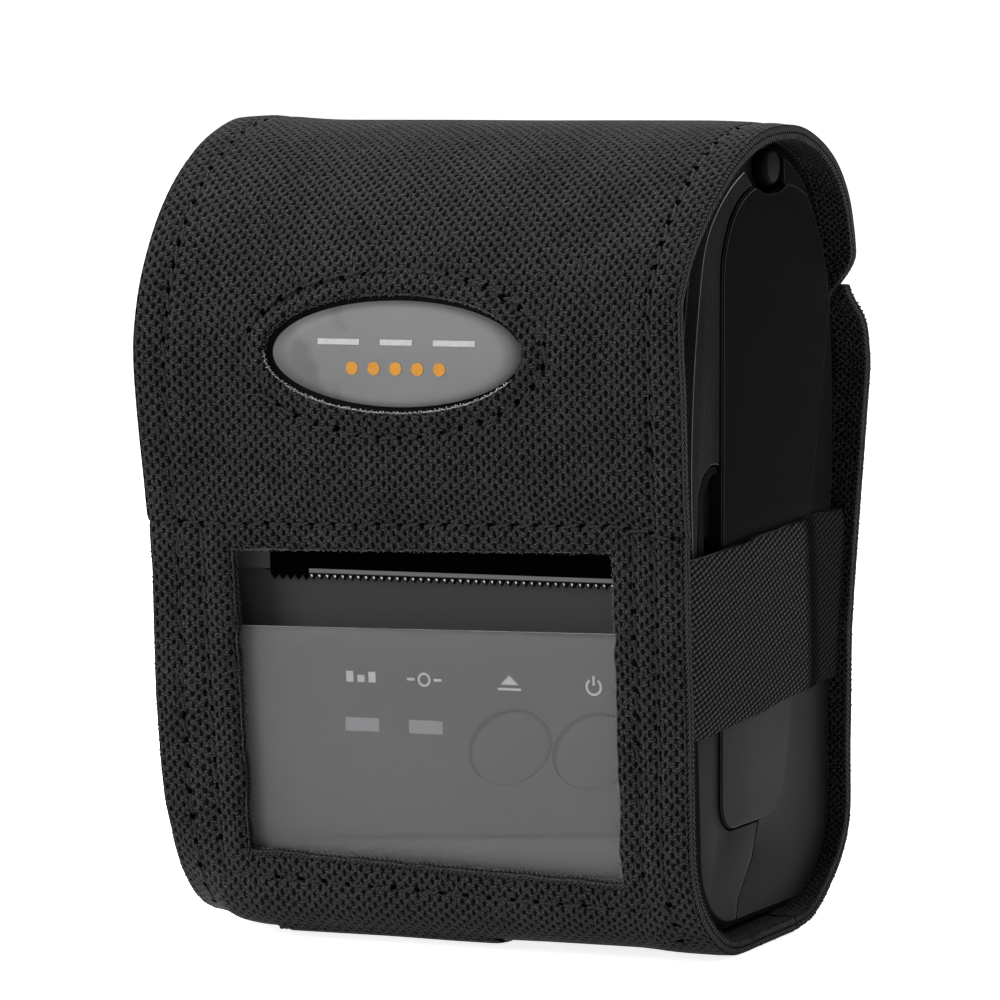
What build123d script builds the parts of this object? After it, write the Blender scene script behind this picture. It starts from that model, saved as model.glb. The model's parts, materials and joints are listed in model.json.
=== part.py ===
"""Portable thermal printer in its woven belt case.

Frame: X across the printer, the control panel faces -Y, +Z is up. The origin is the middle of the
footprint, on the surface that the case stands on. All sizes are millimetres.
"""
from build123d import *
from math import atan2, cos, degrees, pi, radians, sin, tan
import os

os.makedirs("parts", exist_ok=True)

# Driving dimensions of the belt case
case_width = 84.0
case_front = -32.5
case_top = 114.0
fabric = 2.1
strip_thickness = 1.2
fold_z = 48.5
back_panel_top = case_top - 24.5
tongue_back = 26.4
tongue_room = 1.4
bulge_y, bulge_z = tongue_back + fabric + 2 * tongue_room, case_top - 36.5
case_back = bulge_y + strip_thickness
waist_y, waist_z = 22.4, 40.0
heel_y = 20.2
toe_radius, heel_radius = 15.5, 16.0
panel_top_radius, waist_radius, bulge_radius, lip_radius = 34.0, 60.0, 8.0, 4.0
arch_flat = 2.5
arch_back_reach = tongue_back - case_front - panel_top_radius - arch_flat
arch_back_rise = arch_back_reach - 3.4
arch_back_ease = 1.7
tongue_tip_z = case_top - 38.0
tongue_fold_tilt = 10.0
window_left, window_right = 13.0 - case_width / 2, case_width / 2 - 11.8
window_low, window_high = 12.4, 56.3
film_thickness = 0.3
film_top = 46.0
film_margin = 2.5
band_low, band_high = 31.9, 56.4
band_thickness = 1.0
band_inner = case_width / 2 - band_thickness - 0.3
badge_x, badge_z = -2.3, 84.4
badge_a, badge_b, badge_thickness = 19.6, 7.7, 0.6
badge_pocket_margin, badge_pocket_depth = 0.7, 1.1
loop_center_x, loop_width = -13.0, 35.0
loop_front_y, loop_top_z = -15.0, back_panel_top - 3.5
loop_bow_y, loop_bow_z = 31.6, 37.0
loop_sewn = 9.0
patch_width, patch_low, patch_high, patch_thickness = 46.0, tongue_tip_z + 1.5, tongue_tip_z + 9.0, 0.9
fold_gap = 0.1
band_tab = 8.0
window_corner = 1.5

# Driving dimensions of the printer body
body_width = case_width - 4.6
body_front, body_back = -26.6, 23.2
body_top = case_top - fabric - 1.6
wall = 1.8
edge_chamfer = 1.3
side_raise = 0.5
parting_gap = 0.3
arch_y, arch_reach, arch_rise, arch_radius = 3.5, 25.2, 18.5, 14.5
front_lean = 17.5
rear_rise, rear_radius = 26.3, 15.5
waist_back_y, waist_back_z, heel_back_y = 19.0, 28.0, 17.6
shoulder_z = body_top - 38.3
front_heel_radius, back_heel_radius = 11.0, 14.0
parting_z = 53.0

# Raised oval on each side of the rear housing
oval_points = [(-19.3, 17.4), (-13.4, body_top - 4.3), (26.0, body_top - 6.0), (0.5, 17.3)]
oval_radii = [4.0, 13.0, 15.0, 8.0]
oval_inset = 2.2

# Hinge of the paper cover
hinge_y, hinge_z = 4.5, body_top - 2.7
pin_radius, pin_head_radius, pin_head_length, pin_clear = 1.5, 2.7, 2.0, 0.2
running_gap = 0.06
lid_rear_y, roof_front_y = 0.6, 2.1
arm_thickness, arm_step = 2.0, 0.6
arm_outer = body_width / 2 - wall - arm_step
arm_inner = arm_outer - arm_thickness
notch_inner = arm_inner - 0.5

# Printing mechanism
platen_y, platen_z, platen_radius = -20.6, 56.4, 3.5
shaft_radius = 1.5
bushing_radius = 3.0
rib_thickness, rib_radius = 1.5, 3.9
paper_gap = 0.1
gear_module = 0.5
platen_teeth, wheel_teeth, pinion_teeth = 14, 28, 8
gear_width, gear_room = 1.8, 0.8
gear_inner = notch_inner - gear_room - gear_width
wheel_direction = -50.0
pinion_direction = 0.0
mesh_gap = 0.12
motor_radius, motor_length = 7.5, 20.0
plate_thickness, plate_room = 1.2, 1.1
plate_inner = gear_inner - plate_room - plate_thickness
rib_outer = plate_inner - 0.2
rib_inner = rib_outer - rib_thickness
chassis_front, chassis_floor, chassis_top = -20.2, 39.0, 57.0
motor_shaft_radius = 0.75
head_width, head_front, head_back = 2 * rib_inner - 2.4, -21.0, -12.6
head_thickness, sink_low = 0.8, 48.4

# Paper bay
bay_width, bay_wall = 2 * plate_inner - 1.4, 1.6
roll_y, roll_z = -1.5, (body_top + chassis_top) / 2 + 1.35
bay_radius = roll_z - chassis_top - bay_wall - 6.2

# Tear edge and paper exit
slot_left, slot_right = 3.4 - rib_outer, rib_outer - 0.4
slot_raise = 3.3
comb_left, comb_width = slot_left + 0.4, 6.6
strip_low_z, strip_depth = 53.35, 0.8
blade_thickness, blade_tip_z = 0.4, 51.7
tooth_pitch, tooth_height = 1.23, 1.3
exit_low_z, exit_high_z, exit_rear_y = 48.4, 52.2, -21.2

# Control panel
feed_x, power_x, button_z = 11.7, 24.7, 29.1
button_a, button_b, button_tilt = 6.4, 4.75, 27.6
button_gap, button_travel, button_flange, button_proud = 0.2, 0.6, 0.4, 0.4
lamp_x = (-11.6, -1.6)
lamp_z, lamp_width, lamp_height = 31.5, 5.3, 1.9
board_front, board_thickness = -18.6, 1.4
board_left, board_right, board_low, board_high = -17.0, body_width / 2 - 8.5, 18.0, 37.6
switch_size, switch_height, stem_half = 5.0, 1.6, 1.15
standoff_half, board_screw_radius, board_head_radius, board_head_length = 1.8, 0.8, 1.5, 1.0

# Battery compartment in the back
cover_width, cover_low, cover_high = body_width - 25.4, 14.0, 60.0
cover_gap = 0.15
tray_floor_y, tray_wall = 5.0, 1.3
socket_y, socket_z, socket_width, socket_height = -0.6, 26.5, 7.6, 2.8
socket_depth = 6.2
main_board_thickness = 1.6
main_board_low, main_board_high = 14.5, 37.3
main_board_half = cover_width / 2 + 1.0

# Screws and posts
post_half, post_low, post_high = 2.6, 16.0, 37.0
post_x = body_width / 2 - wall - post_half - 1.0
post_split_y = -17.0
screw_radius, screw_head_radius, screw_head_length = 1.0, 1.9, 1.4
screw_reach, slot_width = 6.0, 0.35

# Release lever on the right side of the paper cover
lever_y, lever_z, lever_radius = -18.1, 63.0, 5.1
lever_width, lever_low_z = 1.8, 54.2
lever_inner = arm_outer + 0.1
lever_step, lever_outer = lever_inner + 0.9, lever_inner + 2.1
lever_pivot_y, lever_pivot_z, lever_pin_radius = -20.0, 62.6, 1.0

body_bottom = strip_thickness + fabric
side_flat = body_width / 2
side_outer = side_flat + side_raise


def case_wrap_side(inset):
    """Filled side outline of the back panel, bottom and lower front, moved inwards by inset."""
    with BuildSketch(Plane.YZ) as side:
        with BuildLine():
            path = FilletPolyline(
                (case_front, case_top),
                (case_front, strip_thickness),
                (heel_y, strip_thickness),
                (waist_y, waist_z),
                (bulge_y, bulge_z),
                (tongue_back + fabric + tongue_room, back_panel_top),
                (tongue_back + fabric + tongue_room, case_top),
                radius=[toe_radius, heel_radius, waist_radius, bulge_radius, lip_radius],
            )
            Line(path @ 1, path @ 0)
        make_face()
        if inset:
            offset(amount=-inset)
    return side.sketch


def oval_arc(minor, major, sharp):
    """Radius and sweep of the flat arc that joins a sharp arc to make a quarter oval."""
    flat = (minor ** 2 + major ** 2 - 2 * major * sharp) / (2 * (minor - sharp))
    return flat, degrees(atan2(major - sharp, flat - minor))


back_flat, back_sweep = oval_arc(arch_back_rise, arch_back_reach, arch_back_rise - arch_back_ease)
case_arch_y = case_front + panel_top_radius


def case_flap_side(inset):
    """Filled side outline of the upper front, the arch and the tongue, moved inwards by inset."""
    with BuildSketch(Plane.YZ) as side:
        with BuildLine():
            Polyline(
                (case_front, case_top - panel_top_radius), (case_front, 0), (tongue_back, 0),
                (tongue_back, case_top - arch_back_rise),
            )
            back_turn = JernArc(
                (tongue_back, case_top - arch_back_rise), (0, 1), arch_back_rise - arch_back_ease,
                90 - back_sweep,
            )
            back_top = JernArc(back_turn @ 1, back_turn % 1, back_flat, back_sweep)
            Line(back_top @ 1, (case_arch_y, case_top))
            JernArc((case_arch_y, case_top), (-1, 0), panel_top_radius, 90)
        make_face()
        if inset:
            offset(amount=-inset)
    return side.sketch


roof_flat, roof_sweep = oval_arc(arch_rise, arch_reach, arch_radius)
rear_flat, rear_sweep = oval_arc(body_back - arch_y, rear_rise, rear_radius)
join_y = (arch_y - roof_flat * sin(radians(roof_sweep))
          - arch_radius * (cos(radians(front_lean)) - sin(radians(roof_sweep))))
join_z = (body_top - roof_flat * (1 - cos(radians(roof_sweep)))
          - arch_radius * (cos(radians(roof_sweep)) - sin(radians(front_lean))))
lean_radius = (join_y - body_front) / (1 - cos(radians(front_lean)))
lean_start_z = join_z - lean_radius * sin(radians(front_lean))


def printer_side(inset):
    """Filled side outline of the closed printer, moved inwards by inset."""
    with BuildSketch(Plane.YZ) as side:
        with BuildLine():
            FilletPolyline(
                (body_back, body_top - rear_rise),
                (body_back, shoulder_z),
                (waist_back_y, waist_back_z),
                (heel_back_y, body_bottom),
                (body_front, body_bottom),
                (body_front, lean_start_z),
                radius=[40.0, 60.0, back_heel_radius, front_heel_radius],
            )
            front = JernArc((body_front, lean_start_z), (0, 1), lean_radius, -front_lean)
            brow = JernArc(front @ 1, front % 1, arch_radius, front_lean + roof_sweep - 90)
            JernArc(brow @ 1, brow % 1, roof_flat, -roof_sweep)
            nape = JernArc((arch_y, body_top), (1, 0), rear_radius, rear_sweep - 90)
            JernArc(nape @ 1, nape % 1, rear_flat, -rear_sweep)
        make_face()
        if inset:
            offset(amount=-inset)
    return side.sketch


def oval_side(grow):
    """Filled outline of the raised oval side panel, grown by grow."""
    with BuildSketch(Plane.YZ) as side:
        with BuildLine():
            FilletPolyline(*oval_points, radius=oval_radii, close=True)
        make_face()
        if grow:
            offset(amount=grow)
    return side.sketch


def polygon_side(*points):
    """Filled polygon in the side view from points (y, z)."""
    with BuildSketch(Plane.YZ) as side:
        with BuildLine():
            Polyline(*points, close=True)
        make_face()
    return side.sketch


def oval_face(semi_x, semi_z):
    """Oval button, badge or opening, in 36 sides."""
    return Polygon(*[(semi_x * cos(pi * side / 18), semi_z * sin(pi * side / 18)) for side in range(36)])


def small_round(radius):
    """Eight-sided outline of the small hidden holes, shanks and heads."""
    return RegularPolygon(radius, 8)


def front_view(x_min, x_max, z_min, z_max, y_plane):
    """Filled rectangle facing -Y at y_plane."""
    with BuildSketch(Plane.XZ.offset(-y_plane)) as view:
        with Locations(((x_min + x_max) / 2, (z_min + z_max) / 2)):
            Rectangle(x_max - x_min, z_max - z_min)
    return view.sketch


# Printer shell, before it is divided
with BuildPart() as body_block:
    extrude(printer_side(0), amount=side_flat, both=True)
    chamfer(body_block.faces().filter_by(Axis.X).edges(), length=edge_chamfer)

with BuildPart() as body_shell:
    add(body_block)
    extrude(printer_side(wall), amount=side_flat - wall, both=True, mode=Mode.SUBTRACT)

far = 200.0
with BuildPart() as lid_zone:
    extrude(
        polygon_side((-far, parting_z), (lid_rear_y, parting_z), (lid_rear_y, far), (-far, far)),
        amount=far, both=True,
    )
    extrude(oval_side(parting_gap), amount=far, both=True, mode=Mode.SUBTRACT)

parting_curve = [(-15.6, 0.0), (-13.8, 7.1), (-8.8, 12.3), (-6.5, 17.3)]
with BuildPart() as front_zone:
    extrude(
        polygon_side(
            (-far, 0), *parting_curve, (-6.5, 30), (-10, parting_z - parting_gap),
            (-far, parting_z - parting_gap),
        ),
        amount=far, both=True,
    )
    extrude(oval_side(parting_gap), amount=far, both=True, mode=Mode.SUBTRACT)

with BuildPart() as rear_zone:
    extrude(oval_side(0), amount=far, both=True)
    extrude(
        polygon_side(
            *[(y + parting_gap, z) for y, z in parting_curve], (-6.2, 40), (roof_front_y, 90),
            (roof_front_y, far), (far, far), (far, 0),
        ),
        amount=far, both=True,
    )

notch_profile = polygon_side(
    (-7.8, hinge_z + 1.8), (-2.5, hinge_z - 2.6), (0.2, hinge_z - 3.5), (1.8, hinge_z - 3.7),
    (4.6, hinge_z - 3.7), (6.9, hinge_z - 3.0), (7.5, hinge_z - 2.0), (7.5, far), (-7.8, far),
)
with BuildPart() as hinge_notch:
    extrude(notch_profile, amount=far, both=True)
    Box(2 * notch_inner, far, 4 * far, mode=Mode.SUBTRACT)

# Rear housing: outer shell, raised ovals, paper bay, battery tray, screw posts
with BuildPart() as side_ovals:
    extrude(oval_side(0), amount=side_outer, both=True)
    extrude(printer_side(oval_inset), amount=side_outer, both=True, mode=Mode.INTERSECT)
    chamfer(side_ovals.faces().filter_by(Axis.X).edges(), length=0.25)
    Box(2 * (side_flat - wall / 2), far, 4 * far, mode=Mode.SUBTRACT)

with BuildPart() as bay_walls:
    extrude(printer_side(wall / 2), amount=bay_width / 2 + bay_wall, both=True)
    add(rear_zone, mode=Mode.INTERSECT)
    with Locations((0, 0, far / 2 + parting_z + 9.0)):
        Box(far, far, far, mode=Mode.INTERSECT)
    Box(bay_width, far, 4 * far, mode=Mode.SUBTRACT)

with BuildPart() as bay_floor:
    with BuildSketch(Plane.YZ):
        with Locations((roll_y, roll_z)):
            Circle(bay_radius + bay_wall)
            Circle(bay_radius, mode=Mode.SUBTRACT)
    extrude(amount=bay_width / 2 + bay_wall, both=True)
    extrude(
        polygon_side((roll_y, roll_z), (roll_y - 40, roll_z - 36), (roll_y, 0), (60, 0),
                     (60, roll_z - 16)),
        amount=far, both=True, mode=Mode.INTERSECT,
    )
    extrude(printer_side(wall / 2), amount=far, both=True, mode=Mode.INTERSECT)

with BuildPart() as battery_tray:
    extrude(
        front_view(-cover_width / 2 - tray_wall, cover_width / 2 + tray_wall,
                   cover_low - tray_wall, cover_high + tray_wall, tray_floor_y),
        amount=-far,
    )
    extrude(
        front_view(-cover_width / 2, cover_width / 2, cover_low, cover_high,
                   tray_floor_y + tray_wall),
        amount=-far, mode=Mode.SUBTRACT,
    )
    extrude(printer_side(wall / 2), amount=far, both=True, mode=Mode.INTERSECT)

screw_seat_y = heel_back_y - 3.0
post_spots = [(-post_x, post_low), (post_x, post_low), (-post_x, post_high)]
main_board_y = socket_y + socket_height / 2
board_spots = [(6.0 - main_board_half, 18.0), (main_board_half - 6.0, 33.6)]
lug_radius = body_top - hinge_z - 0.1

with BuildPart() as rear_posts:
    with BuildSketch(Plane.XZ.offset(-post_split_y)):
        with Locations(*post_spots):
            Rectangle(2 * post_half, 2 * post_half)
    extrude(amount=-far)
    extrude(printer_side(wall / 2), amount=far, both=True, mode=Mode.INTERSECT)

with BuildPart() as rear_housing:
    add(body_shell)
    add(rear_zone, mode=Mode.INTERSECT)
    extrude(
        front_view(-cover_width / 2 - cover_gap, cover_width / 2 + cover_gap,
                   cover_low - cover_gap, cover_high + cover_gap, 10),
        amount=-far, mode=Mode.SUBTRACT,
    )
    add(side_ovals)
    add(bay_walls)
    add(bay_floor)
    add(battery_tray)
    add(rear_posts)
    with BuildSketch(Plane.XZ.offset(-post_split_y + 1)):
        with Locations(*post_spots):
            small_round(screw_radius + running_gap)
    extrude(amount=-far, mode=Mode.SUBTRACT)
    with BuildSketch(Plane.XZ.offset(-screw_seat_y)):
        with Locations(*post_spots):
            small_round(screw_head_radius + running_gap)
    extrude(amount=-far, mode=Mode.SUBTRACT)
    add(hinge_notch, mode=Mode.SUBTRACT)
    with BuildSketch(Plane.YZ.offset(bay_width / 2)):
        with Locations((hinge_y, hinge_z)):
            Circle(lug_radius)
        with Locations((hinge_y + lug_radius, hinge_z)):
            Rectangle(2 * lug_radius, 2 * lug_radius - 1.2)
    extrude(amount=notch_inner - bay_width / 2)
    mirror(about=Plane.YZ, mode=Mode.ADD)
    with BuildSketch(Plane.YZ):
        with Locations((hinge_y, hinge_z)):
            Circle(pin_radius)
    extrude(amount=far, both=True, mode=Mode.SUBTRACT)
    with Locations((-side_flat, socket_y, socket_z)):
        Box(8, socket_height + 0.8, socket_width + 0.8, mode=Mode.SUBTRACT)
    with BuildSketch(Plane.XZ.offset(-main_board_y - main_board_thickness)):
        with Locations(*board_spots):
            Rectangle(2 * standoff_half, 2 * standoff_half)
            RegularPolygon(board_screw_radius, 8, mode=Mode.SUBTRACT)
    extrude(amount=-(tray_floor_y - main_board_y - main_board_thickness))
rear_housing.part.label = "rear_housing"
export_step(rear_housing.part, "parts/rear_housing.step")

# Front housing: panel wall with button and lamp openings, paper ledge, posts and standoffs
standoff_spots = [(board_left + 2.5, board_low + 2.5), (board_right - 2.5, board_low + 2.3)]
front_inner = body_front + wall

with BuildPart() as slot_cut:
    extrude(
        polygon_side((-far, exit_low_z), (body_front, exit_low_z), (exit_rear_y, exit_high_z),
                     (exit_rear_y, far), (-far, far)),
        amount=far, both=True,
    )
    with Locations(((slot_left + slot_right) / 2, 0, 0)):
        Box(slot_right - slot_left, far * 2, far * 4, mode=Mode.INTERSECT)

with BuildPart() as paper_ledge:
    with BuildSketch(Plane.YZ.offset(slot_left)) as ledge_side:
        with BuildLine():
            Polyline(
                (body_front, exit_low_z), (exit_rear_y, exit_high_z),
                (exit_rear_y, exit_high_z - wall), (front_inner, exit_low_z - wall),
                (body_front, exit_low_z - wall), close=True,
            )
        make_face()
    extrude(amount=slot_right - slot_left)

with BuildPart() as front_housing:
    add(body_shell)
    add(front_zone, mode=Mode.INTERSECT)
    with BuildSketch(Plane.XZ.offset(-front_inner)):
        with Locations(Location((feed_x, button_z), button_tilt),
                       Location((power_x, button_z), button_tilt)):
            oval_face(button_a + button_gap, button_b + button_gap)
        with Locations(*[(x, lamp_z) for x in lamp_x]):
            Rectangle(lamp_width, lamp_height)
    extrude(amount=2 * wall, both=True, mode=Mode.SUBTRACT)
    add(slot_cut, mode=Mode.SUBTRACT)
    add(paper_ledge)
    with BuildSketch(Plane.XZ.offset(-post_split_y)):
        with Locations(*post_spots):
            Rectangle(2 * post_half, 2 * post_half)
            RegularPolygon(screw_radius, 8, mode=Mode.SUBTRACT)
    extrude(amount=front_inner - post_split_y, dir=(0, 1, 0))
    with BuildSketch(Plane.XZ.offset(-board_front)):
        with Locations(*standoff_spots):
            Rectangle(2 * standoff_half, 2 * standoff_half)
            RegularPolygon(board_screw_radius, 8, mode=Mode.SUBTRACT)
    extrude(amount=front_inner - board_front, dir=(0, 1, 0))
front_housing.part.label = "front_housing"
export_step(front_housing.part, "parts/front_housing.step")

# Paper cover: shell, side arms with the hinge eyes, platen ribs, recess of the release lever
with BuildPart() as cover_arm:
    extrude(printer_side(wall - 0.2), amount=arm_outer, both=True)
    extrude(printer_side(wall + 4.6), amount=far, both=True, mode=Mode.SUBTRACT)
    add(lid_zone, mode=Mode.INTERSECT)
    with BuildSketch(Plane.YZ):
        with Locations((hinge_y, hinge_z)):
            Circle(lug_radius)
        with BuildLine():
            Polyline(
                (lid_rear_y - 4.0, hinge_z - 3.4), (hinge_y, hinge_z - lug_radius + 0.2),
                (hinge_y, hinge_z + lug_radius - 0.2), (lid_rear_y - 4.0, hinge_z + 0.9),
                close=True,
            )
        make_face()
        with Locations((lever_pivot_y, lever_pivot_z)):
            Circle(2 * lever_pin_radius)
    extrude(amount=arm_outer, both=True)
    Box(2 * arm_inner, 2 * far, 4 * far, mode=Mode.SUBTRACT)
    with BuildSketch(Plane.YZ):
        with Locations((hinge_y, hinge_z)):
            Circle(pin_radius + running_gap)
    extrude(amount=far, both=True, mode=Mode.SUBTRACT)

with BuildPart() as platen_rib:
    with BuildSketch(Plane.YZ.offset(rib_inner)):
        with Locations((platen_y, platen_z)):
            RegularPolygon(rib_radius, 8, major_radius=False, rotation=22.5)
        with BuildLine():
            Polyline(
                (front_inner - 0.5, parting_z + slot_raise), (platen_y, parting_z + slot_raise),
                (platen_y, platen_z + rib_radius), (front_inner - 0.5, platen_z + rib_radius + 1.5),
                close=True,
            )
        make_face()
        with Locations((platen_y, platen_z)):
            RegularPolygon(bushing_radius, 8, mode=Mode.SUBTRACT)
    extrude(amount=rib_outer - rib_inner)

with BuildPart() as lever_recess:
    with BuildSketch(Plane.YZ.offset(lever_inner - 0.1)):
        with Locations((lever_y, lever_z)):
            Circle(lever_radius + parting_gap)
        with BuildLine():
            Polyline(
                (lever_y - lever_radius - parting_gap, lever_z),
                (lever_y - lever_radius - parting_gap - 1.0, parting_z - 1),
                (lever_y + 10, parting_z - 1), (lever_y + 10, lever_z + lever_radius), (lever_y, lever_z),
                close=True,
            )
        make_face()
    extrude(amount=far)

with BuildPart() as lid:
    add(body_shell)
    add(lid_zone, mode=Mode.INTERSECT)
    add(hinge_notch, mode=Mode.SUBTRACT)
    with Locations(((slot_left + slot_right) / 2, body_front, parting_z)):
        Box(slot_right - slot_left, 12, 2 * slot_raise, mode=Mode.SUBTRACT)
    add(cover_arm)
    add(platen_rib)
    mirror(platen_rib.part, about=Plane.YZ)
    add(lever_recess, mode=Mode.SUBTRACT)
    with BuildSketch(Plane.YZ.offset(arm_outer - 0.5)):
        with Locations((lever_pivot_y, lever_pivot_z)):
            Circle(lever_pin_radius)
    extrude(amount=lever_step + 0.5 - arm_outer)
lid.part.label = "lid"
export_step(lid.part, "parts/lid.step")

# Release lever: a crescent finger strip on a disc that turns on the cover's stud
with BuildPart() as release_lever:
    with BuildSketch(Plane.YZ.offset(lever_step)):
        with Locations((lever_y, lever_z)):
            Circle(lever_radius)
        with Locations((lever_y + 1.1, lever_z - 0.4)):
            Circle(lever_radius - lever_width + 1.1, mode=Mode.SUBTRACT)
        with Locations((lever_y - lever_radius + lever_width / 2, lever_z - 50)):
            Rectangle(far, 100, mode=Mode.SUBTRACT)
        with BuildLine():
            Polyline(
                (lever_y - lever_radius, lever_z), (lever_y - lever_radius, lever_low_z),
                (lever_y - lever_radius + lever_width, lever_low_z),
                (lever_y - lever_radius + lever_width, lever_z), close=True,
            )
        make_face()
    extrude(amount=lever_outer - lever_step)
    with BuildSketch(Plane.YZ.offset(lever_inner)):
        with Locations((lever_y, lever_z)):
            Circle(lever_radius - 0.4)
    extrude(amount=lever_step - lever_inner)
    extrude(oval_side(2 * parting_gap), amount=far, both=True, mode=Mode.SUBTRACT)
    with BuildSketch(Plane.YZ.offset(lever_inner)):
        with Locations((lever_pivot_y, lever_pivot_z)):
            Circle(lever_pin_radius + running_gap)
    extrude(amount=lever_step - lever_inner, mode=Mode.SUBTRACT)
release_lever.part.label = "release_lever"
export_step(release_lever.part, "parts/release_lever.step")

# Hinge pins of the paper cover
with BuildPart() as hinge_pins:
    with BuildSketch(Plane.YZ.offset(bay_width / 2 + bay_wall)):
        with Locations((hinge_y, hinge_z)):
            Circle(pin_radius)
    extrude(amount=arm_outer + pin_clear - bay_width / 2 - bay_wall)
    with BuildSketch(Plane.YZ.offset(arm_outer + pin_clear)):
        with Locations((hinge_y, hinge_z)):
            Circle(pin_head_radius)
    extrude(amount=pin_head_length)
    chamfer(hinge_pins.faces().sort_by(Axis.X)[-1].edges(), length=0.2 * pin_head_radius)
    mirror(about=Plane.YZ)
hinge_pins.part.label = "hinge_pins"
export_step(hinge_pins.part, "parts/hinge_pins.step")


def gear_outline(teeth, phase):
    """Outline points of a spur gear around the origin with a tooth centred on phase, in degrees."""
    pitch_r = gear_module * teeth / 2
    base_r = pitch_r * cos(radians(20))
    tip_r = pitch_r + 0.8 * gear_module
    root_r = pitch_r - 1.15 * gear_module
    half_pitch_angle = 0.42 * pi / teeth
    involute_pitch = tan(radians(20)) - radians(20)
    flank = []
    for step in range(2):
        radius = max(base_r, root_r) + (tip_r - max(base_r, root_r)) * step
        swing = atan2((max(radius ** 2 - base_r ** 2, 0)) ** 0.5, base_r)
        flank.append((radius, half_pitch_angle + involute_pitch - (tan(swing) - swing)))
    profile = [(root_r, flank[0][1])] + flank
    points = []
    for tooth in range(teeth):
        middle = radians(phase) + 2 * pi * tooth / teeth
        points += [(radius * cos(middle - half), radius * sin(middle - half)) for radius, half in profile]
        points += [(radius * cos(middle + half), radius * sin(middle + half))
                   for radius, half in reversed(profile)]
    return points


wheel_distance = gear_module * (platen_teeth + wheel_teeth) / 2 + mesh_gap
wheel_y = platen_y + wheel_distance * cos(radians(wheel_direction))
wheel_z = platen_z + wheel_distance * sin(radians(wheel_direction))
pinion_distance = gear_module * (wheel_teeth + pinion_teeth) / 2 + mesh_gap
pinion_y = wheel_y + pinion_distance * cos(radians(pinion_direction))
pinion_z = wheel_z + pinion_distance * sin(radians(pinion_direction))
wheel_phase = wheel_direction + 180 + 180 / wheel_teeth
wheel_lead = (pinion_direction - wheel_phase + 180 / wheel_teeth) % (360 / wheel_teeth) - 180 / wheel_teeth
pinion_phase = pinion_direction + 180 + wheel_lead * wheel_teeth / pinion_teeth + 180 / pinion_teeth

# Platen: rubber roller and gear on a steel shaft, held by two bushings in the cover's ribs
shaft_left = -(rib_outer + 1.0)
with BuildPart() as platen_shaft:
    with BuildSketch(Plane.YZ.offset(shaft_left)):
        with Locations((platen_y, platen_z)):
            Circle(shaft_radius)
    extrude(amount=gear_inner + gear_width + 0.3 - shaft_left)
platen_shaft.part.label = "platen_shaft"
export_step(platen_shaft.part, "parts/platen_shaft.step")

roller_half = rib_inner - 0.2
with BuildPart() as platen_roller:
    with BuildSketch(Plane.YZ):
        with Locations((platen_y, platen_z)):
            Circle(platen_radius)
            Circle(shaft_radius, mode=Mode.SUBTRACT)
    extrude(amount=roller_half, both=True)
platen_roller.part.label = "platen_roller"
export_step(platen_roller.part, "parts/platen_roller.step")

with BuildPart() as platen_gear:
    with BuildSketch(Plane.YZ.offset(gear_inner)):
        with BuildLine():
            Polyline(*[(platen_y + y, platen_z + z)
                       for y, z in gear_outline(platen_teeth, wheel_direction)], close=True)
        make_face()
        with Locations((platen_y, platen_z)):
            Circle(shaft_radius, mode=Mode.SUBTRACT)
    extrude(amount=gear_width)
platen_gear.part.label = "platen_gear"
export_step(platen_gear.part, "parts/platen_gear.step")

with BuildPart() as platen_bushings:
    with BuildSketch(Plane.YZ.offset(rib_inner)):
        with Locations((platen_y, platen_z)):
            RegularPolygon(bushing_radius, 8)
            Circle(shaft_radius + running_gap, mode=Mode.SUBTRACT)
    extrude(amount=plate_inner + plate_thickness - rib_inner)
    mirror(about=Plane.YZ)
platen_bushings.part.label = "platen_bushings"
export_step(platen_bushings.part, "parts/platen_bushings.step")

# Reduction wheel, motor and its pinion
with BuildPart() as reduction_wheel:
    with BuildSketch(Plane.YZ.offset(gear_inner)):
        with BuildLine():
            Polyline(*[(wheel_y + y, wheel_z + z)
                       for y, z in gear_outline(wheel_teeth, wheel_phase)], close=True)
        make_face()
        with Locations((wheel_y, wheel_z)):
            Circle(motor_shaft_radius + running_gap, mode=Mode.SUBTRACT)
    extrude(amount=gear_width)
reduction_wheel.part.label = "reduction_wheel"
export_step(reduction_wheel.part, "parts/reduction_wheel.step")

with BuildPart() as wheel_stud:
    with BuildSketch(Plane.YZ.offset(plate_inner)):
        with Locations((wheel_y, wheel_z)):
            Circle(motor_shaft_radius)
    extrude(amount=gear_inner + gear_width + 0.7 - plate_inner)
    with BuildSketch(Plane.YZ.offset(gear_inner + gear_width + 0.1)):
        with Locations((wheel_y, wheel_z)):
            small_round(2 * motor_shaft_radius)
    extrude(amount=0.6)
wheel_stud.part.label = "wheel_stud"
export_step(wheel_stud.part, "parts/wheel_stud.step")

with BuildPart() as motor_pinion:
    with BuildSketch(Plane.YZ.offset(gear_inner)):
        with BuildLine():
            Polyline(*[(pinion_y + y, pinion_z + z)
                       for y, z in gear_outline(pinion_teeth, pinion_phase)], close=True)
        make_face()
        with Locations((pinion_y, pinion_z)):
            Circle(motor_shaft_radius, mode=Mode.SUBTRACT)
    extrude(amount=gear_width)
motor_pinion.part.label = "motor_pinion"
export_step(motor_pinion.part, "parts/motor_pinion.step")

with BuildPart() as motor_shaft:
    with BuildSketch(Plane.YZ.offset(plate_inner - motor_length / 2)):
        with Locations((pinion_y, pinion_z)):
            Circle(motor_shaft_radius)
    extrude(amount=gear_inner + gear_width + 0.3 - plate_inner + motor_length / 2)
motor_shaft.part.label = "motor_shaft"
export_step(motor_shaft.part, "parts/motor_shaft.step")

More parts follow.
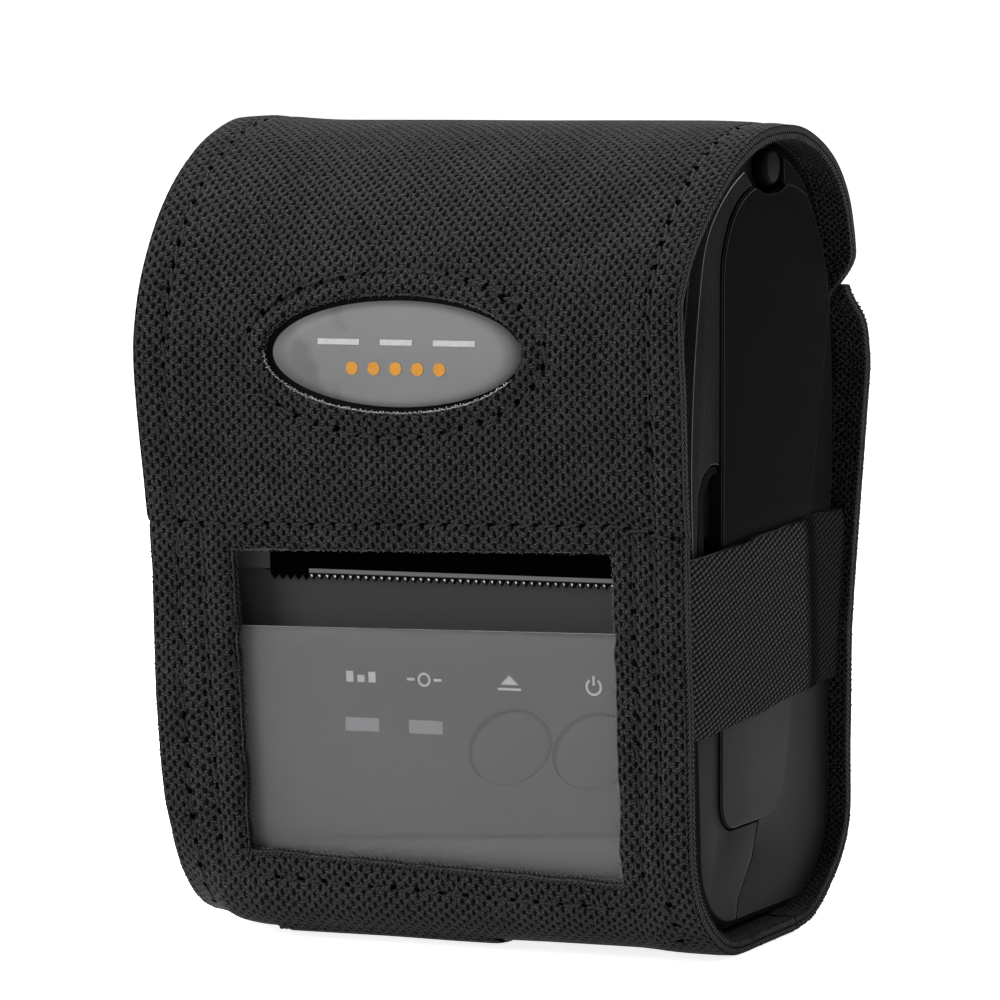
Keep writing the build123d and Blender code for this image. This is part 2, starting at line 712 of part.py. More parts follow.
with BuildPart() as motor:
    with BuildSketch(Plane.YZ.offset(plate_inner)):
        with Locations((pinion_y, pinion_z)):
            Circle(motor_radius)
    extrude(amount=-motor_length)
    with BuildSketch(Plane.YZ.offset(plate_inner)):
        with Locations((pinion_y, pinion_z)):
            small_round(1.2 * motor_shaft_radius)
    extrude(amount=-motor_length / 2 - 0.2, mode=Mode.SUBTRACT)
motor.part.label = "motor"
export_step(motor.part, "parts/motor.step")

# Chassis of the mechanism: floor and two side plates, seated on the battery tray
with BuildPart() as chassis:
    with BuildSketch(Plane.YZ):
        with BuildLine():
            Polyline(
                (chassis_front, chassis_floor), (tray_floor_y, chassis_floor),
                (tray_floor_y, chassis_top), (chassis_front, chassis_top), close=True,
            )
        make_face()
        with Locations((platen_y, platen_z)):
            RegularPolygon(bushing_radius + 0.5, 8, mode=Mode.SUBTRACT)
    extrude(amount=plate_inner + plate_thickness, both=True)
    with Locations((0, 0, chassis_floor + plate_thickness + far / 2)):
        Box(2 * plate_inner, far, far, mode=Mode.SUBTRACT)
    with BuildSketch(Plane.YZ.offset(plate_inner)):
        with Locations((wheel_y, wheel_z)):
            Circle(motor_shaft_radius)
        with Locations((pinion_y, pinion_z)):
            Circle(motor_shaft_radius + running_gap)
    extrude(amount=plate_thickness, mode=Mode.SUBTRACT)
chassis.part.label = "chassis"
export_step(chassis.part, "parts/chassis.step")

# Print head: heated strip on its sink, pressed up by a leaf spring
head_top = platen_z - platen_radius - paper_gap
with BuildPart() as print_head:
    with Locations((0, (head_front + head_back) / 2, head_top - head_thickness / 2)):
        Box(head_width, head_back - head_front, head_thickness)
print_head.part.label = "print_head"
export_step(print_head.part, "parts/print_head.step")

with BuildPart() as head_sink:
    with BuildSketch(Plane.YZ):
        with BuildLine():
            Polyline(
                (head_front + 1.2, head_top - head_thickness), (head_back, head_top - head_thickness),
                (head_back, sink_low), (head_front + 3.2, sink_low), close=True,
            )
        make_face()
    extrude(amount=head_width / 2, both=True)
head_sink.part.label = "head_sink"
export_step(head_sink.part, "parts/head_sink.step")

spring_floor = chassis_floor + plate_thickness
with BuildPart() as head_spring:
    with BuildSketch(Plane.YZ):
        with BuildLine():
            spine = Polyline(
                (head_back + 0.6, spring_floor), (head_front + 3.4, spring_floor),
                (head_front + 4.2, (spring_floor + sink_low) / 2), (head_front + 3.4, sink_low - 0.4),
                (head_back - 1.0, sink_low - 0.4),
            )
            offset(amount=0.4, side=Side.RIGHT)
        make_face()
    extrude(amount=3.0, both=True)
head_spring.part.label = "head_spring"
export_step(head_spring.part, "parts/head_spring.step")

# Tear edge inside the cover's lip: a moulded strip, toothed at its left end, and a steel blade behind


def tear_strip(x_min, x_max, top_z, y_front, thickness):
    """Toothed strip facing -Y, its teeth pointing down."""
    count = max(1, round((x_max - x_min) / tooth_pitch))
    pitch = (x_max - x_min) / count
    points = [(x_min, top_z), (x_min, blade_tip_z + tooth_height)]
    for tooth in range(count):
        points.append((x_min + (tooth + 0.5) * pitch, blade_tip_z))
        points.append((x_min + (tooth + 1) * pitch, blade_tip_z + tooth_height))
    points.append((x_max, top_z))
    with BuildPart() as strip:
        with BuildSketch(Plane.XZ.offset(-y_front)):
            with BuildLine():
                Polyline(*points, close=True)
            make_face()
        extrude(amount=-thickness)
    return strip.part


with BuildPart() as tear_blade:
    add(tear_strip(comb_left + comb_width, rib_inner, parting_z + slot_raise, front_inner,
                   blade_thickness))
tear_blade.part.label = "tear_blade"
export_step(tear_blade.part, "parts/tear_blade.step")

with BuildPart() as tear_comb:
    add(tear_strip(comb_left, comb_left + comb_width, parting_z + slot_raise,
                   front_inner - strip_depth, strip_depth))
    extrude(front_view(comb_left + comb_width, slot_right, strip_low_z, parting_z + slot_raise,
                       front_inner - strip_depth), amount=-strip_depth)
tear_comb.part.label = "tear_comb"
export_step(tear_comb.part, "parts/tear_comb.step")

# Panel buttons with a stem that reaches into the switch behind
stem_end = board_front - switch_height + 0.3
for button_name, button_x in (("feed_button", feed_x), ("power_button", power_x)):
    with BuildPart() as button:
        with BuildSketch(Plane.XZ.offset(-body_front + button_proud)):
            with Locations(Location((button_x, button_z), button_tilt)):
                oval_face(button_a, button_b)
        extrude(amount=-(wall + button_proud + 0.5))
        chamfer(button.faces().sort_by(Axis.Y)[0].edges(), length=0.25)
        with BuildSketch(Plane.XZ.offset(-front_inner - 0.05)):
            with Locations(Location((button_x, button_z), button_tilt)):
                Rectangle(2 * button_a + button_flange, button_b)
        extrude(amount=-0.8)
        with BuildSketch(Plane.XZ.offset(-front_inner - 0.3)):
            with Locations((button_x, button_z)):
                Rectangle(2 * stem_half, 2 * stem_half)
        extrude(amount=-(stem_end - front_inner - 0.3))
    button.part.label = button_name
    export_step(button.part, "parts/" + button_name + ".step")

# Control board with its switches, lamps and light windows
with BuildPart() as control_board:
    extrude(front_view(board_left, board_right, board_low, board_high, board_front),
            amount=-board_thickness)
    with BuildSketch(Plane.XZ.offset(-board_front)):
        with Locations(*standoff_spots):
            small_round(board_screw_radius)
    extrude(amount=-board_thickness, mode=Mode.SUBTRACT)
control_board.part.label = "control_board"
export_step(control_board.part, "parts/control_board.step")

with BuildPart() as panel_switches:
    with BuildSketch(Plane.XZ.offset(-board_front)):
        with Locations((feed_x, button_z), (power_x, button_z)):
            Rectangle(switch_size, switch_size)
    extrude(amount=switch_height)
    with BuildSketch(Plane.XZ.offset(-board_front + switch_height)):
        with Locations((feed_x, button_z), (power_x, button_z)):
            Rectangle(2 * stem_half + 0.3, 2 * stem_half + 0.3)
    extrude(amount=-(0.3 + button_travel + 0.2), mode=Mode.SUBTRACT)
panel_switches.part.label = "panel_switches"
export_step(panel_switches.part, "parts/panel_switches.step")

lamp_size = 1.0
with BuildPart() as panel_lamps:
    with BuildSketch(Plane.XZ.offset(-board_front)):
        with Locations(*[(x, lamp_z) for x in lamp_x]):
            Rectangle(2.0, 1.2)
    extrude(amount=lamp_size)
panel_lamps.part.label = "panel_lamps"
export_step(panel_lamps.part, "parts/panel_lamps.step")

with BuildPart() as lamp_windows:
    with BuildSketch(Plane.XZ.offset(-body_front)):
        with Locations(*[(x, lamp_z) for x in lamp_x]):
            Rectangle(lamp_width, lamp_height)
    extrude(amount=-(board_front - lamp_size - body_front))
lamp_windows.part.label = "lamp_windows"
export_step(lamp_windows.part, "parts/lamp_windows.step")

# Main board with the charging socket
socket_center_x = -(side_flat - 0.5 - socket_depth / 2)
with BuildPart() as main_board:
    extrude(front_view(-main_board_half, main_board_half, main_board_low, main_board_high,
                       main_board_y), amount=-main_board_thickness)
    extrude(front_view(-(side_flat - wall - 0.9), -main_board_half + 1,
                       socket_z - socket_width / 2 - 0.8, socket_z + socket_width / 2 + 0.8,
                       main_board_y), amount=-main_board_thickness)
    with BuildSketch(Plane.XZ.offset(-main_board_y)):
        with Locations(*board_spots):
            small_round(board_screw_radius)
    extrude(amount=-main_board_thickness, mode=Mode.SUBTRACT)
main_board.part.label = "main_board"
export_step(main_board.part, "parts/main_board.step")

with BuildPart() as charging_socket:
    with Locations((socket_center_x, socket_y, socket_z)):
        Box(socket_depth, socket_height, socket_width)
    chamfer(charging_socket.edges().filter_by(Axis.X), length=0.9)
    with BuildSketch(Plane.YZ.offset(socket_center_x - socket_depth / 2)) as socket_mouth:
        with Locations((socket_y, socket_z)):
            Rectangle(socket_height - 0.7, socket_width - 0.7)
        chamfer(socket_mouth.vertices(), length=0.7)
    extrude(amount=socket_depth - 1.2, mode=Mode.SUBTRACT)
charging_socket.part.label = "charging_socket"
export_step(charging_socket.part, "parts/charging_socket.step")

# Screws of the two boards and of the housing halves


def screw(x, y, z, side, shank_radius, shank_length, head_radius, head_length):
    """Screw along Y with its head on the side given, +1 or -1, and the head's seat at y."""
    with BuildPart() as one:
        with BuildSketch(Plane.XZ.offset(-y)):
            with Locations((x, z)):
                small_round(shank_radius)
        extrude(amount=side * shank_length)
        with BuildSketch(Plane.XZ.offset(-y)):
            with Locations((x, z)):
                small_round(head_radius)
        extrude(amount=-side * head_length)
        with BuildSketch(Plane.XZ.offset(-y - side * head_length)):
            with Locations((x, z)):
                Rectangle(1.3 * head_radius, slot_width)
        extrude(amount=side * 0.4 * head_length, mode=Mode.SUBTRACT)
    return one.part


board_shank = 3.2
with BuildPart() as board_screws:
    for x, z in standoff_spots:
        add(screw(x, board_front + board_thickness, z, 1, board_screw_radius, board_shank,
                  board_head_radius, board_head_length))
    for x, z in board_spots:
        add(screw(x, main_board_y, z, -1, board_screw_radius, board_shank,
                  board_head_radius, board_head_length))
board_screws.part.label = "board_screws"
export_step(board_screws.part, "parts/board_screws.step")

with BuildPart() as housing_screws:
    for x, z in post_spots:
        add(screw(x, screw_seat_y, z, 1, screw_radius, screw_seat_y - post_split_y + screw_reach,
                  screw_head_radius, screw_head_length))
housing_screws.part.label = "housing_screws"
export_step(housing_screws.part, "parts/housing_screws.step")

# Battery pack and the cover of its compartment
battery_gap = 0.8
with BuildPart() as battery_pack:
    extrude(
        front_view(-cover_width / 2 + battery_gap, cover_width / 2 - battery_gap,
                   cover_low + battery_gap, cover_high - battery_gap, tray_floor_y + tray_wall),
        amount=-(waist_back_y - 3 * wall - tray_floor_y),
    )
    chamfer(battery_pack.edges().filter_by(Axis.Y), length=1.0)
battery_pack.part.label = "battery_pack"
export_step(battery_pack.part, "parts/battery_pack.step")

with BuildPart() as battery_cover:
    add(body_shell)
    extrude(front_view(-cover_width / 2, cover_width / 2, cover_low, cover_high, 10),
            amount=-far, mode=Mode.INTERSECT)
battery_cover.part.label = "battery_cover"
export_step(battery_cover.part, "parts/battery_cover.step")

# Belt case: back panel, floor and lower front in one strip, open around the window
window_center_x = (window_left + window_right) / 2
with BuildPart() as window_cut:
    with BuildSketch(Plane.XZ.offset(-case_front + 10)):
        with Locations((window_center_x, (window_low + window_high) / 2)):
            RectangleRounded(window_right - window_left, window_high - window_low, window_corner)
    extrude(amount=-(10 - case_front))

with BuildPart() as case_wrap:
    extrude(case_wrap_side(0), amount=case_width / 2, both=True)
    extrude(case_wrap_side(fabric), amount=case_width, both=True, mode=Mode.SUBTRACT)
    with Locations((0, case_front, fold_z - fold_gap / 2 + far / 2)):
        Box(far, 2 * abs(case_front), far, mode=Mode.SUBTRACT)
    with Locations((0, 0, back_panel_top + far / 2)):
        Box(far, far, far, mode=Mode.SUBTRACT)
    add(window_cut, mode=Mode.SUBTRACT)
case_wrap.part.label = "case_wrap"
export_step(case_wrap.part, "parts/case_wrap.step")

# Upper front, arch and tongue: one strip of fabric, divided where it folds
tongue_fold_y = case_arch_y - panel_top_radius * sin(radians(tongue_fold_tilt))
tongue_fold_z = case_top - panel_top_radius * (1 - cos(radians(tongue_fold_tilt)))

with BuildPart() as flap_strip:
    extrude(case_flap_side(0), amount=case_width / 2, both=True)
    extrude(case_flap_side(fabric), amount=case_width, both=True, mode=Mode.SUBTRACT)

fold_lean, fold_slope = -sin(radians(tongue_fold_tilt)), cos(radians(tongue_fold_tilt))
fold_half = fold_gap / 2
front_half = [
    (tongue_fold_y - fold_half + 10 * fold_lean, tongue_fold_z + 10 * fold_slope),
    (tongue_fold_y - fold_half - 30 * fold_lean, tongue_fold_z - 30 * fold_slope),
    (tongue_fold_y - fold_half - 30 * fold_lean, fold_z + fold_half),
    (-far, fold_z + fold_half),
    (-far, tongue_fold_z + 10 * fold_slope),
]
back_half = [
    (tongue_fold_y + fold_half + 10 * fold_lean, tongue_fold_z + 10 * fold_slope),
    (tongue_fold_y + fold_half - 30 * fold_lean, tongue_fold_z - 30 * fold_slope),
    (tongue_fold_y + fold_half - 30 * fold_lean, tongue_tip_z),
    (far, tongue_tip_z),
    (far, tongue_fold_z + 10 * fold_slope),
]

with BuildPart() as badge_pocket:
    extrude(case_flap_side(0), amount=case_width / 2, both=True)
    extrude(case_flap_side(badge_pocket_depth), amount=case_width, both=True, mode=Mode.SUBTRACT)
    with BuildSketch(Plane.XZ.offset(-case_front + 5)):
        with Locations((badge_x, badge_z)):
            oval_face(badge_a + badge_pocket_margin, badge_b + badge_pocket_margin)
    extrude(amount=-20, mode=Mode.INTERSECT)

with BuildPart() as case_flap:
    add(flap_strip)
    extrude(polygon_side(*front_half), amount=far, both=True, mode=Mode.INTERSECT)
    add(window_cut, mode=Mode.SUBTRACT)
    add(badge_pocket, mode=Mode.SUBTRACT)
case_flap.part.label = "case_flap"
export_step(case_flap.part, "parts/case_flap.step")

with BuildPart() as flap_tongue:
    add(flap_strip)
    extrude(polygon_side(*back_half), amount=far, both=True, mode=Mode.INTERSECT)
flap_tongue.part.label = "flap_tongue"
export_step(flap_tongue.part, "parts/flap_tongue.step")

with BuildPart() as badge_plate:
    extrude(case_flap_side(badge_pocket_depth - badge_thickness), amount=case_width / 2, both=True)
    extrude(case_flap_side(badge_pocket_depth), amount=case_width, both=True, mode=Mode.SUBTRACT)
    with BuildSketch(Plane.XZ.offset(-case_front + 5)):
        with Locations((badge_x, badge_z)):
            oval_face(badge_a, badge_b)
    extrude(amount=-20, mode=Mode.INTERSECT)
badge_plate.part.label = "badge_plate"
export_step(badge_plate.part, "parts/badge_plate.step")

# Clear film behind the lower part of the window
with BuildPart() as window_film:
    extrude(case_wrap_side(fabric), amount=far, both=True)
    extrude(case_wrap_side(fabric + film_thickness), amount=far, both=True, mode=Mode.SUBTRACT)
    with BuildSketch(Plane.XZ.offset(-case_front)):
        with Locations((window_center_x, (window_low - film_margin + film_top) / 2)):
            Rectangle(window_right - window_left + 2 * film_margin,
                      film_top - window_low + film_margin)
    extrude(amount=-abs(case_front), mode=Mode.INTERSECT)
window_film.part.label = "window_film"
export_step(window_film.part, "parts/window_film.step")

# Hook-and-loop closure between the tongue and the back panel
with BuildPart() as hook_patch:
    extrude(front_view(-patch_width / 2, patch_width / 2, patch_low, patch_high, tongue_back),
            amount=-patch_thickness)
hook_patch.part.label = "hook_patch"
export_step(hook_patch.part, "parts/hook_patch.step")

with BuildPart() as loop_patch:
    extrude(case_wrap_side(fabric), amount=far, both=True)
    extrude(case_wrap_side(fabric + patch_thickness), amount=2 * far, both=True, mode=Mode.SUBTRACT)
    extrude(front_view(-patch_width / 2, patch_width / 2, patch_low, patch_high, 10),
            amount=-far, mode=Mode.INTERSECT)
loop_patch.part.label = "loop_patch"
export_step(loop_patch.part, "parts/loop_patch.step")

# Elastic band on each side, sewn behind the front edge and to the back panel
for band_name, band_side in (("elastic_band_left", -1), ("elastic_band_right", 1)):
    with BuildPart() as band:
        extrude(case_wrap_side(fabric), amount=far, both=True)
        with Locations((band_side * (band_inner + band_thickness / 2), 0, (band_low + band_high) / 2)):
            Box(band_thickness, far, band_high - band_low, mode=Mode.INTERSECT)
        with Locations((band_side * (band_inner + band_thickness - band_tab / 2),
                        case_front + fabric + band_thickness / 2, (band_low + fold_z - fold_gap) / 2)):
            Box(band_tab, band_thickness, fold_z - fold_gap - band_low)
        with Locations((0, case_front + fabric, fold_z - fold_half + far / 2)):
            Box(far, 2 * parting_gap, far, mode=Mode.SUBTRACT)
    band.part.label = band_name
    export_step(band.part, "parts/" + band_name + ".step")

# Belt loop: a strip sewn under the floor and high on the back panel, bowed out in between


def loop_side(inset):
    """Filled side outline that the belt loop wraps, moved inwards by inset."""
    with BuildSketch(Plane.YZ) as side:
        with BuildLine():
            path = FilletPolyline(
                (case_front, case_top), (case_front, 0), (heel_y + strip_thickness + 0.8, 0),
                (loop_bow_y, loop_bow_z), (case_back, bulge_z), (case_back, case_top),
                radius=[5.0, 14.0, 60.0, 20.0],
            )
            Line(path @ 1, path @ 0)
        make_face()
        if inset:
            offset(amount=-inset)
    return side.sketch


with BuildPart() as belt_loop:
    extrude(loop_side(0), amount=loop_width / 2, both=True)
    extrude(loop_side(strip_thickness), amount=loop_width, both=True, mode=Mode.SUBTRACT)
    with Locations((0, case_back, loop_top_z - loop_sewn / 2)):
        Box(loop_width, 2 * (case_back - bulge_y + fabric), loop_sewn)
    extrude(
        polygon_side((loop_front_y, -1), (case_back, -1), (case_back, loop_top_z),
                     (0, loop_top_z), (0, case_top / 2), (loop_front_y, case_top / 2)),
        amount=far, both=True, mode=Mode.INTERSECT,
    )
    extrude(case_wrap_side(0), amount=far, both=True, mode=Mode.SUBTRACT)
with BuildPart() as placed_loop:
    with Locations((loop_center_x, 0, 0)):
        add(belt_loop.part)
placed_loop.part.label = "belt_loop"
export_step(placed_loop.part, "parts/belt_loop.step")
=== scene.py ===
"""Portable thermal printer in its woven belt case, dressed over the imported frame.

Metres, +Z up, the control panel faces -Y. Sizes below are written in millimetres and scaled by MM.
"""
import bmesh
import bpy
import json
import math
import numpy as np
from mathutils import Matrix, Vector


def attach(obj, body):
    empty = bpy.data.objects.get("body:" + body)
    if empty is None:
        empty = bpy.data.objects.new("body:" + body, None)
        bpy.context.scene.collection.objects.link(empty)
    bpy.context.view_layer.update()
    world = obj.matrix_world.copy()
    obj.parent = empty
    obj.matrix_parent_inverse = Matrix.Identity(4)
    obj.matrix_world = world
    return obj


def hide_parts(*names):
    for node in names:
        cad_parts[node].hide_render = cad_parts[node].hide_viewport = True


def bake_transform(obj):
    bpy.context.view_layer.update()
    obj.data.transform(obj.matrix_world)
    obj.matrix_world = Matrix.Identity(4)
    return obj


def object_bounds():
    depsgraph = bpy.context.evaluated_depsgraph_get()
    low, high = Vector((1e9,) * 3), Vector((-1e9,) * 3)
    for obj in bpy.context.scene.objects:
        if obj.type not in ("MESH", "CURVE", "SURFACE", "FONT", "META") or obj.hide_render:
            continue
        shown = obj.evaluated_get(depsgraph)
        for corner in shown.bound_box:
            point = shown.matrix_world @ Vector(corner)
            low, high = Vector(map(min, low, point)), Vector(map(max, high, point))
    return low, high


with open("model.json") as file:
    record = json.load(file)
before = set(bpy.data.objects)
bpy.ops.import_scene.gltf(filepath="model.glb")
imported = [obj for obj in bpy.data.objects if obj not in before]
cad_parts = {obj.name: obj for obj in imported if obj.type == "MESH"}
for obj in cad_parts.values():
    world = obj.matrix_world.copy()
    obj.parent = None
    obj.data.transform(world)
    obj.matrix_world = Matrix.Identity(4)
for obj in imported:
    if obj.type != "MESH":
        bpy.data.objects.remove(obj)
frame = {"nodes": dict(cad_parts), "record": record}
cad_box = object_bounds()
nodes = frame["nodes"]
MM = 0.001

# Camera at the photograph's place

yaw, pitch, roll = math.radians(26.98), math.radians(6.91), math.radians(-1.67)
camera_place = Vector((0.445998, -0.877715, 0.175102))
forward = Vector((-math.sin(yaw) * math.cos(pitch), math.cos(yaw) * math.cos(pitch), -math.sin(pitch)))
right = Vector((math.cos(yaw), math.sin(yaw), 0))
up = right.cross(forward)
rolled_right = math.cos(roll) * right + math.sin(roll) * up
rolled_up = -math.sin(roll) * right + math.cos(roll) * up
camera_data = bpy.data.cameras.new("photo_camera")
camera = bpy.data.objects.new("photo_camera", camera_data)
bpy.context.collection.objects.link(camera)
camera.matrix_world = Matrix((
    (rolled_right.x, rolled_up.x, -forward.x, camera_place.x),
    (rolled_right.y, rolled_up.y, -forward.y, camera_place.y),
    (rolled_right.z, rolled_up.z, -forward.z, camera_place.z),
    (0, 0, 0, 1),
))
camera_data.sensor_width = 36
camera_data.lens = 251.2
camera_data.shift_x = -0.011515
camera_data.shift_y = 0.031768
camera_data.clip_start = 0.05
camera_data.clip_end = 20
bpy.context.scene.camera = camera
bpy.context.scene.view_settings.view_transform = "Standard"


# Materials


class Shader:
    """Small helper that builds one material's node tree step by step."""

    def __init__(self, name):
        self.material = bpy.data.materials.new(name)
        self.material.use_nodes = True
        self.tree = self.material.node_tree
        self.surface = self.tree.nodes["Principled BSDF"]
        self.output = self.tree.nodes["Material Output"]

    def node(self, kind, **settings):
        made = self.tree.nodes.new(kind)
        for key, value in settings.items():
            setattr(made, key, value)
        return made

    def link(self, a, b):
        self.tree.links.new(a, b)

    def set(self, **values):
        """Constant values of the surface's sockets, underscores for spaces."""
        for key, value in values.items():
            self.surface.inputs[key.replace("_", " ")].default_value = value

    def feed(self, **sources):
        """Links into the surface's sockets, underscores for spaces."""
        for key, source in sources.items():
            self.link(source, self.surface.inputs[key.replace("_", " ")])

    def math(self, operation, a, b=None):
        made = self.node("ShaderNodeMath", operation=operation)
        for socket, value in zip(made.inputs, (a, b)):
            if isinstance(value, (int, float)):
                socket.default_value = value
            elif value is not None:
                self.link(value, socket)
        return made.outputs[0]

    def noise(self, vector, scale, detail=3.0, rough=0.55, stretch=None):
        if stretch:
            mapping = self.node("ShaderNodeMapping")
            mapping.inputs["Scale"].default_value = stretch
            self.link(vector, mapping.inputs["Vector"])
            vector = mapping.outputs["Vector"]
        made = self.node("ShaderNodeTexNoise")
        made.inputs["Scale"].default_value = scale
        made.inputs["Detail"].default_value = detail
        made.inputs["Roughness"].default_value = rough
        self.link(vector, made.inputs["Vector"])
        return made.outputs["Fac"]

    def sway(self, vector, scale, detail, amount, rough=0.55, stretch=None):
        """Noise centred on zero, times an amount."""
        centred = self.math("SUBTRACT", self.noise(vector, scale, detail, rough, stretch), 0.5)
        return self.math("MULTIPLY", centred, amount)

    def ramp(self, fac, *stops):
        made = self.node("ShaderNodeValToRGB")
        elements = made.color_ramp.elements
        while len(elements) < len(stops):
            elements.new(0.5)
        for element, (place, color) in zip(elements, stops):
            element.position = place
            element.color = (*color, 1) if isinstance(color, tuple) else (color, color, color, 1)
        self.link(fac, made.inputs["Fac"])
        return made.outputs["Color"]

    def bump(self, height, strength, distance):
        made = self.node("ShaderNodeBump")
        made.inputs["Strength"].default_value = strength
        made.inputs["Distance"].default_value = distance
        self.link(height, made.inputs["Height"])
        return made.outputs["Normal"]

    def object_coordinates(self):
        return self.node("ShaderNodeTexCoord").outputs["Object"]

    def object_axis(self, axis):
        """One object coordinate, in metres."""
        parts = self.node("ShaderNodeSeparateXYZ")
        self.link(self.object_coordinates(), parts.inputs["Vector"])
        return parts.outputs[axis]

    def flat_coordinates(self):
        """The piece's own UV map, which holds millimetres along and across the cloth."""
        separate = self.node("ShaderNodeSeparateXYZ")
        uv = self.node("ShaderNodeUVMap", uv_map="cloth")
        self.link(uv.outputs["UV"], separate.inputs["Vector"])
        return uv.outputs["UV"], separate.outputs["X"], separate.outputs["Y"]


def woven_nylon(name, dark, middle, light, warp_pitch=0.865, weft_pitch=0.83, relief=0.42):
    """Plain weave of thick filament yarns: dark upright floats in a lighter net of level yarns. The floats'
    darkness is painted shade for the overhead light that only the level yarns catch, the hollows between
    yarns get painted shade, and the cloth is lightened towards the bottom as painted light from the floor.
    """
    s = Shader(name)
    uv, across, along = s.flat_coordinates()
    across = s.math("ADD", s.math("ADD", across, s.sway(uv, 0.55, 2, 0.6)), s.sway(uv, 2.0, 2, 0.55))
    along = s.math("ADD", along, s.sway(uv, 0.9, 3, 0.8))
    upright = s.math("SINE", s.math("MULTIPLY", across, math.pi / warp_pitch))
    level = s.math("SINE", s.math("MULTIPLY", along, math.pi / weft_pitch))
    checker = s.math("MULTIPLY", upright, level)
    crown = s.math("SUBTRACT", s.math("MULTIPLY", upright, upright), 0.5)
    floats = s.math("ADD", checker, s.math("MULTIPLY", crown, 0.85))
    warp_fibre = s.noise(uv, 7, 2, 0.6, (1.0, 0.2, 1.0))
    weft_fibre = s.noise(uv, 5, 3, 0.65, (0.55, 1.0, 1.0))
    warp_rise = s.math("POWER", s.math("MAXIMUM", floats, 0.0), 0.55)
    weft_rise = s.math("MULTIPLY", s.math("POWER", s.math("ABSOLUTE", level), 0.6), 0.35)
    rise = s.math("MAXIMUM", warp_rise, s.math("ADD", weft_rise, 0.3))
    on_warp = s.ramp(floats, (0.12, 0.0), (0.6, 1.0))
    strands = s.node("ShaderNodeMix")
    s.link(on_warp, strands.inputs["Factor"])
    s.link(weft_fibre, strands.inputs["A"])
    s.link(warp_fibre, strands.inputs["B"])
    fibre = strands.outputs["Result"]
    net = s.math("ADD", s.math("MULTIPLY", s.math("SUBTRACT", weft_fibre, 0.5), 2.8), 0.66)
    # Painted shade: the upright floats are darkened, standing in for the overhead light that only the level
    # yarns catch.
    shade = s.math("MULTIPLY", net, s.math("SUBTRACT", 1.0, s.math("MULTIPLY", on_warp, 0.92)))
    shade = s.math("ADD", shade, s.math("MULTIPLY", s.math("SUBTRACT", warp_fibre, 0.5), 0.3))
    # Painted shade in the low hollows between the yarns.
    shade = s.math("MULTIPLY", shade, s.ramp(rise, (0.05, 0.5), (0.4, 1.0)))
    shade = s.math("ADD", shade, s.sway(uv, 0.1, 3, 0.25))
    # Painted light: the cloth is made lighter towards the bottom, standing in for light bounced up from the
    # floor.
    painted_floor_light = s.ramp(s.math("MULTIPLY", s.object_axis("Z"), 20.0), (0.10, 0.10), (0.35, 0.0))
    shade = s.math("ADD", shade, painted_floor_light)
    full_rise = s.math("ADD", rise, s.math("MULTIPLY", fibre, 0.35))
    s.feed(Base_Color=s.ramp(shade, (0.0, dark), (0.5, middle), (1.0, light)),
           Roughness=s.ramp(fibre, (0.3, 0.38), (0.7, 0.62)),
           Specular_IOR_Level=s.ramp(fibre, (0.64, 0.01), (0.76, 0.9)),
           Normal=s.bump(full_rise, 1.0, relief * MM))
    return s.material


def plain_cloth(name, color, light, scale):
    """Fine fuzzy pile and felt."""
    s = Shader(name)
    fuzz = s.noise(s.flat_coordinates()[0], scale, 4, 0.7)
    s.feed(Base_Color=s.ramp(fuzz, (0.3, color), (0.75, light)), Normal=s.bump(fuzz, 1.0, 0.25 * MM))
    s.set(Roughness=0.9, Specular_IOR_Level=0.05)
    return s.material


def overlock_edge(name, dark, light):
    """Cut edge of the cloth, closed by tight slanted threads in two rows."""
    s = Shader(name)
    uv, across, along = s.flat_coordinates()
    row = s.math("ABSOLUTE", s.math("SINE", s.math("MULTIPLY", across, math.pi / 1.05)))
    chevron = s.math("MULTIPLY", s.math("ABSOLUTE", s.math("SUBTRACT", across, 1.05)), 4.2)
    slanted = s.math("ADD", s.math("MULTIPLY", along, math.pi / 0.75), chevron)
    thread = s.math("ABSOLUTE", s.math("SINE", slanted))
    height = s.math("MULTIPLY", s.math("POWER", row, 0.6), s.math("POWER", thread, 0.8))
    height = s.math("ADD", height, s.math("MULTIPLY", s.noise(uv, 3.5, 3), 0.5))
    s.feed(Base_Color=s.ramp(height, (0.35, dark), (0.95, light)), Normal=s.bump(height, 1.0, 0.3 * MM))
    s.set(Roughness=0.8, Specular_IOR_Level=0.0)
    return s.material


def elastic_knit(name):
    """Elastic webbing: low slanted twill ribs of short pale picks, with painted shade behind the sewn fold
    where the band bends in behind the back panel.
    """
    s = Shader(name)
    uv, across, along = s.flat_coordinates()
    climb = s.math("SUBTRACT", along, s.math("MULTIPLY", across, 0.32))
    rib_turn = s.math("ADD", s.math("MULTIPLY", climb, 2 * math.pi / 0.78), s.sway(uv, 0.8, 2, 1.2))
    pick_turn = s.math("ADD", s.math("MULTIPLY", across, 2 * math.pi / 1.15), s.math("MULTIPLY", along, 3.9))
    rib, pick = s.math("SINE", rib_turn), s.math("SINE", pick_turn)
    height = s.math("ADD", s.math("MULTIPLY", rib, 0.5), s.math("MULTIPLY", pick, 0.26))
    height = s.math("ADD", height, s.math("MULTIPLY", s.noise(uv, 5.0, 3, 0.6), 0.8))
    shade = s.math("ADD", s.math("MULTIPLY", height, 0.5), 0.14)
    # Painted shade: darker across the bend where the band tucks in behind the back panel, and somewhat darker
    # beyond it.
    painted_fold_shade = s.ramp(s.math("MULTIPLY", across, 0.01), (0.44, 1.0), (0.465, 0.15), (0.49, 0.25), (0.51, 0.6))
    shade = s.math("MULTIPLY", shade, painted_fold_shade)
    s.feed(Base_Color=s.ramp(shade, (0.0, 0.004), (0.5, 0.042), (1.0, 0.22)),
           Normal=s.bump(height, 1.0, 0.32 * MM))
    s.set(Roughness=0.7, Specular_IOR_Level=0.0)
    return s.material


